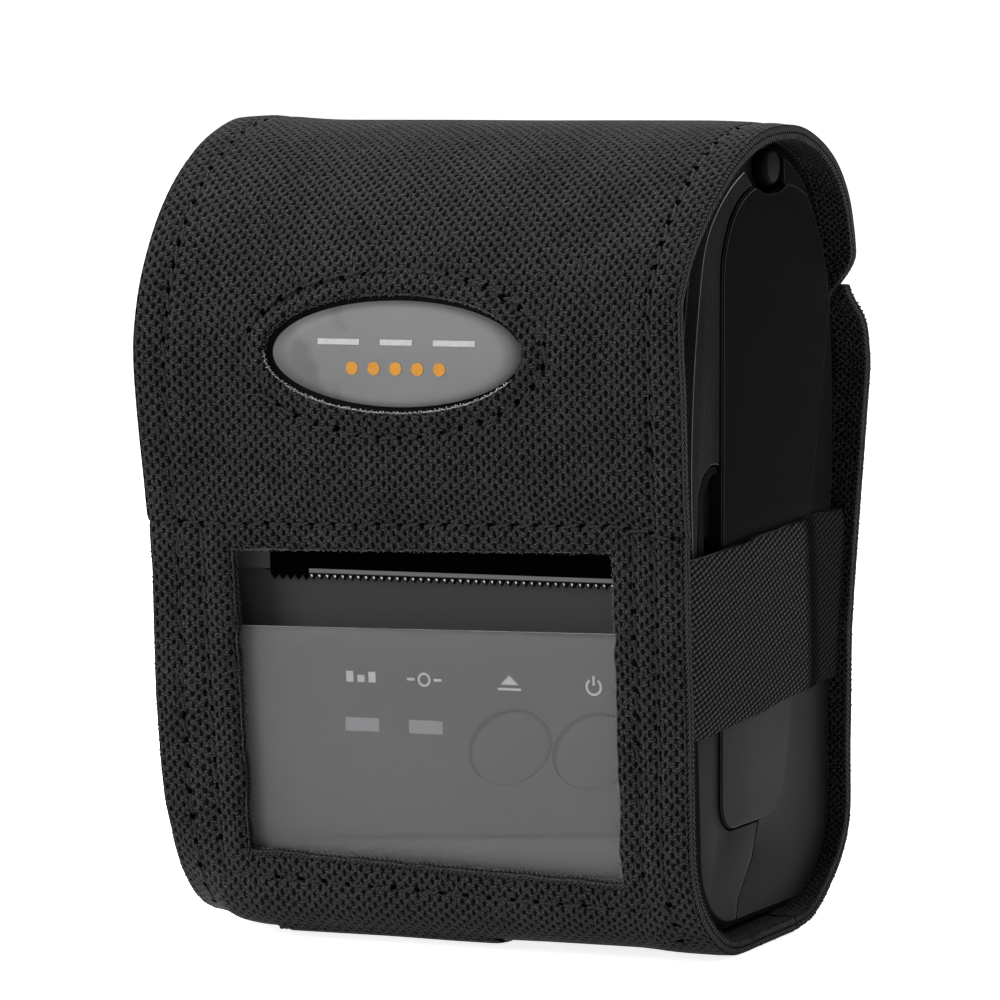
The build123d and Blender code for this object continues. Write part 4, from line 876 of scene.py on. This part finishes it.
def stitch_tree():
    """Slanted threads at even spacing along a line, each with a needle hole after it."""
    length = "NodeSocketFloat"
    tree, given, result = node_group("stitch_row", [
        ("Spacing", length, 3.5 * MM), ("Stitch Length", length, 2.7 * MM),
        ("Thread Width", length, 0.58 * MM), ("Slant", length, 0.10), ("Slant Spread", length, 0.16),
        ("Hole Width", length, 1.15 * MM), ("Sink", length, 0.04 * MM), ("Seed", "NodeSocketInt", 5),
        ("Thread", "NodeSocketMaterial", thread_black), ("Hole", "NodeSocketMaterial", needle_hole)])
    new, link = tree.nodes.new, tree.links.new
    curve = new("GeometryNodeMeshToCurve")
    even = new("GeometryNodeResampleCurve")
    even.mode = "LENGTH"
    link(given.outputs["Geometry"], curve.inputs[0])
    link(curve.outputs[0], even.inputs["Curve"])
    link(given.outputs["Spacing"], even.inputs["Length"])

    def times(socket, factor):
        made = new("ShaderNodeMath")
        made.operation = "MULTIPLY"
        made.inputs[1].default_value = factor
        link(socket, made.inputs[0])
        return made.outputs[0]

    def flat_ball(segments, rings, size_sockets, shift=None, turn=0.0):
        """Small ellipsoid, sized by three sockets and moved along the row."""
        ball = new("GeometryNodeMeshUVSphere")
        ball.inputs["Segments"].default_value = segments
        ball.inputs["Rings"].default_value = rings
        ball.inputs["Radius"].default_value = 0.5
        size = new("ShaderNodeCombineXYZ")
        for axis, socket in zip("XYZ", size_sockets):
            link(socket, size.inputs[axis])
        shaped = new("GeometryNodeTransform")
        link(ball.outputs["Mesh"], shaped.inputs["Geometry"])
        link(size.outputs[0], shaped.inputs["Scale"])
        move = new("ShaderNodeCombineXYZ")
        if shift is not None:
            link(shift, move.inputs["X"])
        placed = new("GeometryNodeTransform")
        placed.inputs["Rotation"].default_value = (0.0, 0.0, turn)
        link(shaped.outputs[0], placed.inputs["Geometry"])
        link(move.outputs[0], placed.inputs["Translation"])
        return placed.outputs[0]

    reach, width = given.outputs["Stitch Length"], given.outputs["Thread Width"]
    thread = new("GeometryNodeJoinGeometry")
    for place in (-0.31, 0.0, 0.31):
        lobe = flat_ball(9, 7, (times(reach, 0.52), times(width, 0.82), width), times(reach, place), 0.30)
        link(lobe, thread.inputs[0])
    hole_width = given.outputs["Hole Width"]
    hole_size = (hole_width, hole_width, times(hole_width, 0.28))
    hole = flat_ball(9, 4, hole_size, times(given.outputs["Spacing"], 0.5))
    mark = new("GeometryNodeStoreNamedAttribute")
    mark.data_type = "BOOLEAN"
    mark.domain = "FACE"
    mark.inputs["Name"].default_value = "needle_hole"
    mark.inputs["Value"].default_value = True
    link(hole, mark.inputs["Geometry"])
    both = new("GeometryNodeJoinGeometry")
    link(mark.outputs[0], both.inputs[0])
    link(thread.outputs[0], both.inputs[0])

    outward = new("GeometryNodeInputNamedAttribute")
    outward.data_type = "FLOAT_VECTOR"
    outward.inputs["Name"].default_value = "outward"
    tangent = new("GeometryNodeInputTangent")
    turn = new("FunctionNodeAxesToRotation")
    turn.primary_axis = "Z"
    turn.secondary_axis = "X"
    link(outward.outputs["Attribute"], turn.inputs["Primary Axis"])
    link(tangent.outputs[0], turn.inputs["Secondary Axis"])
    spread = new("FunctionNodeRandomValue")
    spread.data_type = "FLOAT"
    link(given.outputs["Slant Spread"], spread.inputs[3])
    link(times(given.outputs["Slant Spread"], -1.0), spread.inputs[2])
    link(given.outputs["Seed"], spread.inputs["Seed"])
    slant = new("ShaderNodeMath")
    slant.operation = "ADD"
    link(given.outputs["Slant"], slant.inputs[0])
    link(spread.outputs[1], slant.inputs[1])
    swing = new("ShaderNodeCombineXYZ")
    link(slant.outputs[0], swing.inputs["Z"])
    angled = new("FunctionNodeRotateRotation")
    angled.rotation_space = "LOCAL"
    link(turn.outputs[0], angled.inputs["Rotation"])
    link(swing.outputs[0], angled.inputs["Rotate By"])
    placed = new("GeometryNodeInstanceOnPoints")
    link(even.outputs[0], placed.inputs["Points"])
    link(both.outputs[0], placed.inputs["Instance"])
    link(angled.outputs[0], placed.inputs["Rotation"])
    depth = new("FunctionNodeRandomValue")
    depth.data_type = "FLOAT"
    link(given.outputs["Seed"], depth.inputs["Seed"])
    link(times(given.outputs["Sink"], -2.2), depth.inputs[2])
    link(times(given.outputs["Sink"], 0.2), depth.inputs[3])
    drop = new("ShaderNodeCombineXYZ")
    link(depth.outputs[1], drop.inputs["Z"])
    sunk = new("GeometryNodeTranslateInstances")
    link(placed.outputs[0], sunk.inputs["Instances"])
    link(drop.outputs[0], sunk.inputs["Translation"])
    real = new("GeometryNodeRealizeInstances")
    link(sunk.outputs[0], real.inputs[0])
    sewn = new("GeometryNodeSetMaterial")
    link(real.outputs[0], sewn.inputs["Geometry"])
    link(given.outputs["Thread"], sewn.inputs["Material"])
    marked = new("GeometryNodeInputNamedAttribute")
    marked.data_type = "BOOLEAN"
    marked.inputs["Name"].default_value = "needle_hole"
    pierced = new("GeometryNodeSetMaterial")
    link(sewn.outputs[0], pierced.inputs["Geometry"])
    link(marked.outputs["Attribute"], pierced.inputs["Selection"])
    link(given.outputs["Hole"], pierced.inputs["Material"])
    link(pierced.outputs[0], result.inputs[0])
    return tree


def fibre_tree():
    """Short loose fibres in all directions along a cut edge."""
    length = "NodeSocketFloat"
    tree, given, result = node_group("loose_fibres", [
        ("Spacing", length, 0.45 * MM), ("Fibre Length", length, 0.8 * MM),
        ("Fibre Width", length, 0.08 * MM), ("Lean", length, 0.9), ("Seed", "NodeSocketInt", 3),
        ("Fibre", "NodeSocketMaterial", fray_grey)])
    new, link = tree.nodes.new, tree.links.new
    curve = new("GeometryNodeMeshToCurve")
    even = new("GeometryNodeResampleCurve")
    even.mode = "LENGTH"
    link(given.outputs["Geometry"], curve.inputs[0])
    link(curve.outputs[0], even.inputs["Curve"])
    link(given.outputs["Spacing"], even.inputs["Length"])
    strand = new("GeometryNodeMeshCylinder")
    strand.inputs["Vertices"].default_value = 4
    strand.inputs["Radius"].default_value = 0.5
    strand.inputs["Depth"].default_value = 1.0
    size = new("ShaderNodeCombineXYZ")
    link(given.outputs["Fibre Width"], size.inputs["X"])
    link(given.outputs["Fibre Width"], size.inputs["Y"])
    link(given.outputs["Fibre Length"], size.inputs["Z"])
    shaped = new("GeometryNodeTransform")
    link(strand.outputs["Mesh"], shaped.inputs["Geometry"])
    link(size.outputs[0], shaped.inputs["Scale"])
    tangent = new("GeometryNodeInputTangent")
    scatter = new("FunctionNodeRandomValue")
    scatter.data_type = "FLOAT_VECTOR"
    scatter.inputs[0].default_value = (-1, -1, -1)
    scatter.inputs[1].default_value = (1, 1, 1)
    link(given.outputs["Seed"], scatter.inputs["Seed"])
    lean = new("ShaderNodeVectorMath")
    lean.operation = "SCALE"
    link(scatter.outputs[0], lean.inputs[0])
    link(given.outputs["Lean"], lean.inputs["Scale"])
    heading = new("ShaderNodeVectorMath")
    heading.operation = "ADD"
    link(tangent.outputs[0], heading.inputs[0])
    link(lean.outputs[0], heading.inputs[1])
    align = new("FunctionNodeAlignRotationToVector")
    align.axis = "Z"
    link(heading.outputs[0], align.inputs["Vector"])
    placed = new("GeometryNodeInstanceOnPoints")
    link(even.outputs[0], placed.inputs["Points"])
    link(shaped.outputs[0], placed.inputs["Instance"])
    link(align.outputs[0], placed.inputs["Rotation"])
    real = new("GeometryNodeRealizeInstances")
    link(placed.outputs[0], real.inputs[0])
    tinted = new("GeometryNodeSetMaterial")
    link(real.outputs[0], tinted.inputs["Geometry"])
    link(given.outputs["Fibre"], tinted.inputs["Material"])
    link(tinted.outputs[0], result.inputs[0])
    return tree


stitches, fibres = stitch_tree(), fibre_tree()
binding = dict(Spacing=0.72 * MM, Stitch_Length=0.95 * MM, Thread_Width=0.34 * MM, Slant_Spread=0.3,
               Hole_Width=0.0, Sink=0.06 * MM, Thread=edge_thread)


def grown_along(name, tree, places, closed=False, **settings):
    """Runs a line through the places, given as (point, outward) pairs, and grows the tree's pieces on it."""
    mesh = bpy.data.meshes.new(name)
    count = len(places)
    edges = [(k, k + 1) for k in range(count - 1)] + ([(count - 1, 0)] if closed else [])
    mesh.from_pydata([tuple(p * MM) for p, n in places], edges, [])
    out = mesh.attributes.new("outward", "FLOAT_VECTOR", "POINT")
    out.data.foreach_set("vector", np.array([n for p, n in places], float).ravel())
    line = bpy.data.objects.new(name, mesh)
    bpy.context.collection.objects.link(line)
    grow = line.modifiers.new(tree.name, "NODES")
    grow.node_group = tree
    sockets = {item.name: item.identifier for item in tree.interface.items_tree if item.in_out == "INPUT"}
    for label, value in settings.items():
        grow[sockets[label.replace("_", " ")]] = value
    made = bake(line)
    made.data.polygons.foreach_set("use_smooth", [True] * len(made.data.polygons))
    return made


def run(place, start, end, step=0.8, lift=0.0):
    """Places along a straight run between two (x, s) points on the cloth."""
    count = max(2, int(math.dist(start, end) / step))
    reach = (end[0] - start[0], end[1] - start[1])
    return [place(start[0] + reach[0] * k / count, start[1] + reach[1] * k / count, lift)
            for k in range(count + 1)]


def rim_run(place, side, start, end, depth):
    """Places along a free edge of the cloth, facing out of the edge, depth below its face."""
    places = []
    for at in np.arange(start, end, 0.8):
        point, n = place(side * HALF, at, 0.0)
        aside = np.array([float(side), 0.0, 0.0])
        lean = min(depth / 0.8, 1.0)
        out = aside * lean + n * (1 - lean)
        inset = 0.42 if depth < 0.8 else 0.10
        places.append((point - n * depth - aside * inset, out / np.linalg.norm(out)))
    return places


def bound_edges(name, place, start, end, seed):
    """Overlock threads along both free edges of one cloth."""
    rows = []
    for side, label in ((-1, "left"), (1, "right")):
        for row, depth in enumerate((0.16, 1.05, 1.85)):
            slant = 0.75 if row % 2 == 0 else -0.75
            rim = rim_run(place, side, start, end, depth)
            rows.append(grown_along(f"{name}_{label}_{row}", stitches, rim, Slant=slant, Seed=seed + row,
                                    **binding))
    return rows


def sewn_row(name, place, start, end, seed):
    """One straight row of stitches on the cloth."""
    return grown_along(name, stitches, run(place, start, end), Seed=seed)


def oval_run(grow, lift=0.0, count=120):
    """Places round the badge's opening, grown by a margin."""
    return [front_point(badge_center[0] + (badge_hole[0] + grow) * math.cos(2 * math.pi * k / count),
                        badge_center[1] + (badge_hole[1] + grow) * math.sin(2 * math.pi * k / count), lift)
            for k in range(count)]


seam_row = seam_s - 0.05
hem_low, tab_row = 29.0, tab_s - 1.2
front_rows = [
    sewn_row("window_seam_left", front_point, (left_x, seam_row - 2.5), (left_x, low_s), 1),
    sewn_row("window_seam_right", front_point, (right_x, seam_row - 2.5), (right_x, low_s), 2),
    sewn_row("window_seam_low", front_point, (left_x, low_s), (right_x + 3.5, low_s), 3),
    sewn_row("front_hem_left", front_point, (-hem_x, seam_row), (-hem_x, hem_low), 4),
    sewn_row("front_hem_right", front_point, (hem_x, seam_row), (hem_x, hem_low), 5),
    sewn_row("strap_seam_low", front_point, (tab_x[0] + 1.5, tab_row), (tab_x[1] - 1.5, tab_row), 6),
    sewn_row("cross_seam", front_point, (-hem_x - 1, seam_row), (hem_x + 1, seam_row), 7),
]
hole_line = [(window_x[0], window_s[0]), (window_x[1], window_s[0]),
             (window_x[1], window_s[1]), (window_x[0], window_s[1])]
window_edge = []
for a, b in zip(hole_line, hole_line[1:] + hole_line[:1]):
    window_edge += run(front_point, a, b, 0.6, -0.25)[:-1]
front_rows.append(grown_along("window_fray", fibres, window_edge, closed=True, Seed=8))
deep_edge = [(p - n * 1.3, n) for p, n in window_edge]
front_rows.append(grown_along("window_fray_deep", fibres, deep_edge, closed=True, Seed=9))
sill = [(p + n * 0.25, n) for p, n in run(front_point, hole_line[0], hole_line[1], 0.6)]
front_rows.append(grown_along("window_sill_binding", stitches, sill, Slant=0.5, Seed=10, **binding))
front_rows += bound_edges("front_edge_binding", front_point, 6.0, seam_s, 30)
for piece in front_rows:
    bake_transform(piece)

flap_rows = [
    sewn_row("flap_hem_left", front_point, (-hem_x, seam_row + 3.0), (-hem_x, tongue_s - 2), 11),
    sewn_row("flap_hem_right", front_point, (hem_x, seam_row + 3.0), (hem_x, tongue_s - 2), 12),
    grown_along("badge_seam", stitches, oval_run(badge_seam), closed=True, Spacing=3.3 * MM, Seed=13),
    grown_along("badge_fray", fibres, oval_run(0.0, -0.3), closed=True, Spacing=0.4 * MM, Seed=14),
    grown_along("badge_fray_deep", fibres, oval_run(-0.1, -0.8), closed=True, Spacing=0.5 * MM, Seed=15),
    grown_along("badge_fray_light", fibres, oval_run(-0.15, -0.35)[60:112], Spacing=0.34 * MM,
                Fibre_Length=0.7 * MM, Fibre_Width=0.13 * MM, Lean=1.6, Fibre=fray_light, Seed=16),
]
flap_rows += bound_edges("flap_edge_binding", front_point, seam_s, front_line.length, 40)
for piece in flap_rows:
    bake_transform(piece)

hem_end = back_line.length - 16
back_rows = [
    sewn_row("back_hem_left", back_point, (-hem_x, 3.0), (-hem_x, hem_end), 21),
    sewn_row("back_hem_right", back_point, (hem_x, 3.0), (hem_x, hem_end), 22),
    sewn_row("back_hem_top", back_point, (-hem_x, 3.0), (hem_x, 3.0), 23),
]
back_rows += bound_edges("back_edge_binding", back_point, 0.5, back_line.length, 50)
for piece in back_rows:
    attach(piece, "case_and_printer")

# Badge plate, a satin oval that follows the arch, printed with plain bars and dots

plate_x = badge_center[0] + 0.4
plate_top, plate_back, print_top, print_back = -0.7, -1.1, -0.64, -0.72
plate_inset = -0.95


def plate_place(share, k, lift):
    """Vertex of the badge plate, its face rounded off at the rim."""
    angle = 2 * math.pi * k / OVAL_STEPS
    drop = 0.12 * smooth_step(share, 0.9, 1.0) if lift == plate_top else 0.0
    x = plate_x + (badge_hole[0] + plate_inset) * share * math.cos(angle)
    s = badge_center[1] + (badge_hole[1] + plate_inset) * share * math.sin(angle)
    p, n = front_line.point(s), front_line.outward(s)
    return x, p[0] + n[0] * (lift - drop), p[1] + n[1] * (lift - drop)


plate_rings = [(ring + 1) / 6 for ring in range(6)]
plate = oval_body("badge_oval_plate", plate_rings, (plate_top, plate_back), plate_place, [badge_grey])
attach(plate, "flap")
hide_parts("badge_plate")


def prism(name, front, back, material, body):
    """Straight-walled piece between two copies of one outline, riding on a body."""
    count = len(front)
    faces = [tuple(range(count)), tuple(range(2 * count - 1, count - 1, -1))]
    faces += [(k, count + k, count + (k + 1) % count, (k + 1) % count) for k in range(count)]
    made = link_mesh(name, front + back, faces, [material], smooth=False)
    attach(made, body)
    return made


def rectangle(left, right, low, high):
    """Outline of an upright rectangle, in the order that turns its face outwards."""
    return [(left, low), (right, low), (right, high), (left, high)]


def on_plate(name, outline, material):
    """Flat printed shape on the badge plate, its outline given in (x, s) around the plate's middle."""
    layers = []
    for lift in (print_top, print_back):
        layers.append([])
        for x, at in outline:
            p, n = front_line.point(badge_center[1] + at), front_line.outward(badge_center[1] + at)
            layers[-1].append((plate_x + x, p[0] + n[0] * lift, p[1] + n[1] * lift))
    return prism(name, *layers, material, "flap")


bar_pitch, bar_low, bar_high = 9.0, 1.1, 1.9
for k, reach in enumerate((6.5, 5.0, 6.5)):
    x = (k - 1) * bar_pitch
    on_plate(f"badge_bar_{k + 1}", rectangle(x - reach / 2, x + reach / 2, bar_low, bar_high), badge_light)
dot_count, dot_pitch, dot_radius, dot_s = 5, 3.4, 0.95, -2.2
for k in range(dot_count):
    x = (k - 2) * dot_pitch
    on_plate(f"badge_dot_{k + 1}", [(x + dot_radius * math.cos(a), dot_s + dot_radius * math.sin(a))
                                    for a in np.linspace(0, 2 * math.pi, 16, endpoint=False)], amber)


# Printer body: the frame's own solids with rounded edges

body_of = {node: body for body, members in frame["record"]["behaviour"]["bodies"].items() for node in members}


def rounded_node(node, width, segments=3, angle=25, finish=None, rim=None, front=None):
    """Copy of a frame solid with merged triangles and rounded edges; front finishes its forward faces with a
    lit copy of the plastic as painted light, and rim finishes the rounded edges with a painted highlight.
    """
    mesh = nodes[node].data.copy()
    mesh.name = node + "_rounded"
    edit = bmesh.new()
    edit.from_mesh(mesh)
    bmesh.ops.remove_doubles(edit, verts=edit.verts, dist=1e-6)
    bmesh.ops.dissolve_limit(edit, angle_limit=math.radians(0.6), verts=edit.verts, edges=edit.edges)
    edit.to_mesh(mesh)
    edit.free()
    mesh.polygons.foreach_set("use_smooth", [True] * len(mesh.polygons))
    if finish is not None:
        mesh.materials.clear()
        mesh.materials.append(finish)
    if front is not None:
        mesh.materials.append(front)
        for face in mesh.polygons:
            face.material_index = 1 if face.normal.y < -0.8 else 0
    made = bpy.data.objects.new(node + "_rounded", mesh)
    bpy.context.collection.objects.link(made)
    made.matrix_world = nodes[node].matrix_world
    bevel = made.modifiers.new("rounded_edges", "BEVEL")
    bevel.width = width * MM
    bevel.segments = segments
    bevel.limit_method = "ANGLE"
    bevel.angle_limit = math.radians(angle)
    bevel.harden_normals = True
    if rim is not None:
        mesh.materials.append(rim)
        bevel.material = 1
    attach(made, body_of[node])
    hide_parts(node)
    return made


# The lid and rear housing carry the painted edge highlight on their rounded edges; the front housing's
# forward faces carry painted light.
rounded_node("lid", 0.3, finish=lid_black, rim=painted_edge_highlight)
rounded_node("rear_housing", 0.3, rim=painted_edge_highlight)
rounded_node("front_housing", 0.35, front=painted_lit_front_grey)
for node in ("release_lever", "feed_button", "power_button"):
    rounded_node(node, 0.3)
rounded_node("hinge_pins", 0.25, finish=pin_black)


def box_uv(mesh):
    """UV map in millimetres, laid on each face along its flattest direction."""
    layer = mesh.uv_layers.new(name="cloth")
    for face in mesh.polygons:
        axis = max(range(3), key=lambda i: abs(face.normal[i]))
        u, v = ((1, 2), (0, 2), (0, 1))[axis]
        for loop in face.loop_indices:
            co = mesh.vertices[mesh.loops[loop].vertex_index].co
            layer.data[loop].uv = (co[u] / MM, co[v] / MM)


for node, width, finish in (
        ("belt_loop", 0.4, weave), ("hook_patch", 0.2, patch_pile), ("loop_patch", 0.2, patch_pile)):
    piece = rounded_node(node, width, segments=2, angle=50, finish=finish)
    box_uv(piece.data)

# Elastic bands at the sides, drawn inwards behind the back panel's edge

band_low, band_height = 31.9 - 0.3, 24.5 + 0.3
band_corners = [(33.9, -30.0), (41.25, -29.95), (41.65, -26.0), (41.75, -10.0), (41.6, 8.5),
                (40.75, 12.8), (40.7, 23.0)]
band_radii = [0.5, 1.5, 20.0, 20.0, 2.0]


def band_path(side):
    """Plan line of one band, and the function that places its cloth."""
    plan = SectionLine(rounded(band_corners, band_radii))

    def place(along, up, lift=0.0):
        p, n = plan.point(along), plan.outward(along)
        back = smooth_step(p[1], -32.0, 16.0)
        height = band_low + band_height * up + back * (2.2 * (1 - up) + 1.3 * up)
        height += 0.12 * wobble(along, 7.0, 41) * (1 if up > 0.5 else -1)
        swell = 0.12 * math.sin(math.pi * up) - 0.25 * smooth_step(abs(up - 0.5), 0.42, 0.5)
        x, y = p[0] - n[0] * (lift + swell), p[1] - n[1] * (lift + swell)
        return np.array([side * x, y, height]), np.array([side * -n[0], -n[1], 0.0])

    return plan, place


for side, node in ((1, "elastic_band_right"), (-1, "elastic_band_left")):
    plan, place = band_path(side)
    lengths = ticks(0.0, plan.length, 0.9)
    ups = np.linspace(0, 1, 25) if side > 0 else np.linspace(1, 0, 25)
    band = cloth_shell(node + "_cloth", place, lengths, ups, [knit, knit, knit], thickness=0.9)
    flat = band.data.uv_layers["cloth"]
    for loop in band.data.loops:
        u, v = flat.data[loop.index].uv
        flat.data[loop.index].uv = (u, band.data.vertices[loop.vertex_index].co.z / MM)
    soften(band, 0.25, 2)
    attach(band, "case_and_printer")
    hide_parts(node)

# Window film behind the opening

film_left, film_right, film_middle, film_half, film_depth = -31.4, 32.6, 0.6, 32.1, 2.35


def film_place(x, s, lift=0.0):
    """Place and outward direction on the film, which hangs a little bowed behind the cloth."""
    u = (x - film_middle) / film_half
    v = min(max((s - film_s[0]) / (film_s[1] - film_s[0]), 0), 1)
    swell = 0.35 * (1 - u * u) * math.sin(math.pi * v)
    swell += 0.05 * wobble(x, 9.0, 51) + 0.05 * wobble(s, 8.0, 52)
    s += (0.45 * u - 0.25) * v ** 2
    p, n = front_line.point(s), front_line.outward(s)
    rise = lift - film_depth + swell
    return np.array([x, p[0] + n[0] * rise, p[1] + n[1] * rise]), np.array([0.0, n[0], n[1]])


film_cloth = cloth_shell("window_film_sheet", film_place, ticks(film_left, film_right, 1.6),
                         ticks(*film_s, 1.3), [film, film, film_edge_highlight], thickness=0.3)
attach(film_cloth, "case_and_printer")
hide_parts("window_film")

# Face of the front housing below the tear edge, darkened as painted shade, a lit grey plate on the lid's left
# front as painted light, the toothed comb with a black band of painted shadow over the blade, and the steel
# strip over it


def front_piece(name, outline, front, back, material, body):
    """Flat piece facing -Y from its (x, z) outline, in millimetres."""
    return prism(name, [(x, front, z) for x, z in outline], [(x, back, z) for x, z in outline],
                 material, body)


def toothed(left, right, top, root, tip):
    """Outline of a strip with teeth along its lower edge."""
    count = max(1, int(round((right - left) / tooth_pitch)))
    step = (right - left) / count
    points = [(left, top), (left, root)]
    for k in range(count):
        points += [(left + (k + 0.5) * step, tip), (left + (k + 1) * step, root)]
    return points + [(right, top)]


face_left, face_right, face_front = -31.5, 33.0, -26.66
lid_edge_z, comb_left, blade_right, comb_top, comb_step_z = 53.15, -24.95, 29.3, 56.3, 53.1
# Painted shade: the face below the tear edge, in a darker copy of the front's grey.
front_piece("slot_face", rectangle(face_left, face_right, 45.0, lid_edge_z - 0.2), face_front, -25.8,
            slot_painted_shade_grey, "case_and_printer")
# Painted light: a grey plate on the lid's black front at the left, standing in for the light that falls
# there.
front_piece("lid_face_left", rectangle(face_left, -25.0, lid_edge_z, 57.5), face_front, -26.3, painted_lit_front_grey,
            "paper_cover")
# Painted shadow: the black comb teeth at the left, and a black band over the blade that fills the slot's
# shade up to the lid.
comb_outline = toothed(comb_left, blade_left, comb_top, 52.63, 51.75)[:-1]
comb_outline += [(blade_left, comb_step_z), (blade_right, comb_step_z), (blade_right, comb_top)]
comb = front_piece("tear_comb_teeth", comb_outline, -27.5, -27.1, comb_and_slot_shadow_black, "paper_cover")
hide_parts("tear_comb")
blade_outline = toothed(blade_start, blade_right, 53.4, 52.78, 51.9)
blade = front_piece("tear_blade_teeth", blade_outline, -27.55, -27.2, blade_steel, "paper_cover")
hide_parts("tear_blade")

# Marks on the panel, and dark rings of painted shade in the button grooves

panel_y, mark_sink, mark_raise = -26.64, 0.06, 0.02
mark_z, feed_x, power_x, button_z = 38.2, 11.7, 24.7, 29.35


def panel_mark(name, outline):
    """White printed mark on the panel from its (x, z) outline."""
    front_piece(name, outline, panel_y - mark_raise, panel_y + mark_sink, mark_white, "case_and_printer")


def ring_piece(name, x, z, outer, inner, start=0.0, sweep=360.0, tilt=0.0, material=mark_white,
               raised=mark_raise):
    """Flat oval ring or arc on the panel; outer and inner are (half width, half height)."""
    sides = 48
    closed = sweep >= 360
    count = sides if closed else sides + 1
    turn = math.radians(tilt)
    verts = []
    for y in (panel_y - raised, panel_y + mark_sink):
        for a, b in (outer, inner):
            for k in range(count):
                angle = math.radians(start + sweep * k / sides)
                u, v = a * math.cos(angle), b * math.sin(angle)
                verts.append((x + u * math.cos(turn) - v * math.sin(turn), y,
                              z + u * math.sin(turn) + v * math.cos(turn)))
    outer_front, inner_front, outer_back, inner_back = (count * layer for layer in range(4))
    strips = ((outer_front, inner_front), (inner_front, inner_back), (inner_back, outer_back),
              (outer_back, outer_front))
    faces = []
    for k in range(sides):
        after = (k + 1) % count
        faces += [(a + k, a + after, b + after, b + k) for a, b in strips]
    if not closed:
        last = count - 1
        faces += [(outer_front, inner_front, inner_back, outer_back),
                  (outer_front + last, outer_back + last, inner_back + last, inner_front + last)]
    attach(link_mesh(name, verts, faces, [material], smooth=False), "case_and_printer")


mode_low, mode_high, mode_pitch = 37.5, 39.0, 1.75
for k in range(3):
    x = -13.3 + k * mode_pitch
    panel_mark(f"mode_mark_{k + 1}", rectangle(x - 0.55, x + 0.55, mode_low, mode_high - 0.5 * (k % 2)))
ring_piece("supply_mark_ring", -1.6, mark_z, (1.0, 1.0), (0.68, 0.68))
panel_mark("supply_mark_left", rectangle(-4.3, -3.1, mark_z - 0.18, mark_z + 0.18))
panel_mark("supply_mark_right", rectangle(-0.1, 1.1, mark_z - 0.18, mark_z + 0.18))
panel_mark("feed_mark_arrow", [(feed_x - 1.4, 38.0), (feed_x + 1.4, 38.0), (feed_x, 39.3)])
panel_mark("feed_mark_line", rectangle(feed_x - 1.8, feed_x + 1.8, 37.2, 37.55))
ring_piece("standby_mark_ring", power_x, mark_z, (1.25, 1.25), (0.92, 0.92), start=125, sweep=290)
panel_mark("standby_mark_bar", rectangle(power_x - 0.17, power_x + 0.17, mark_z + 0.2, mark_z + 1.5))
# Painted shade: dark rings laid on the panel round each button.
for x, label in ((feed_x, "feed"), (power_x, "power")):
    ring_piece(label + "_groove", x - 0.4, button_z, (6.65, 5.0), (5.9, 4.25), tilt=27.6,
               material=groove_painted_shade, raised=0.01)

# Stage and light


def seen_directly(tree):
    """1 on rays from the camera, through glass or off a gloss, 0 on rays that light the object."""
    paths = tree.nodes.new("ShaderNodeLightPath")
    seen = paths.outputs["Is Camera Ray"]
    for label in ("Is Transmission Ray", "Is Glossy Ray"):
        larger = tree.nodes.new("ShaderNodeMath")
        larger.operation = "MAXIMUM"
        tree.links.new(seen, larger.inputs[0])
        tree.links.new(paths.outputs[label], larger.inputs[1])
        seen = larger.outputs[0]
    return seen


stage_mesh = bpy.data.meshes.new("studio_floor")
stage_mesh.from_pydata([(-4, -4, 0), (4, -4, 0), (4, 4, 0), (-4, 4, 0)], [], [(0, 1, 2, 3)])
floor = bpy.data.objects.new("studio_floor", stage_mesh)
bpy.context.collection.objects.link(floor)
floor_shader = Shader("studio_white")
floor_shader.set(Base_Color=(0.82, 0.82, 0.82, 1), Roughness=0.8, Specular_IOR_Level=0.2)
seen = seen_directly(floor_shader.tree)
glow = floor_shader.node("ShaderNodeEmission")
glow.inputs["Color"].default_value = (1, 1, 1, 1)
floor_shader.link(floor_shader.math("MULTIPLY", seen, 0.85), glow.inputs["Strength"])
both = floor_shader.node("ShaderNodeAddShader")
floor_shader.link(floor_shader.surface.outputs[0], both.inputs[0])
floor_shader.link(glow.outputs[0], both.inputs[1])
floor_shader.link(both.outputs[0], floor_shader.output.inputs["Surface"])
stage_mesh.materials.append(floor_shader.material)

world = bpy.data.worlds.new("studio")
world.use_nodes = True
bpy.context.scene.world = world
background = world.node_tree.nodes["Background"]
background.inputs["Color"].default_value = (1, 1, 1, 1)
sky = world.node_tree.nodes.new("ShaderNodeMath")
sky.operation = "MULTIPLY_ADD"
sky.inputs[1].default_value = 0.88
sky.inputs[2].default_value = 0.12
world.node_tree.links.new(seen_directly(world.node_tree), sky.inputs[0])
world.node_tree.links.new(sky.outputs[0], background.inputs["Strength"])


def softbox(name, place, width, height, power):
    """Rectangular light turned to the middle of the object."""
    target = (0, 0, 0.06)
    light = bpy.data.lights.new(name, "AREA")
    light.shape = "RECTANGLE"
    light.size = width
    light.size_y = height
    light.energy = power
    lamp = bpy.data.objects.new(name, light)
    bpy.context.collection.objects.link(lamp)
    lamp.location = place
    lamp.rotation_euler = (Vector(target) - Vector(place)).to_track_quat("-Z", "Y").to_euler()


softbox("overhead_softbox", (-0.15, 0.1, 0.9), 0.7, 0.5, 11)
softbox("left_softbox", (-0.75, -0.65, 0.5), 0.5, 0.6, 12)
softbox("rear_rim", (0.55, 0.6, 0.5), 0.3, 0.3, 4)
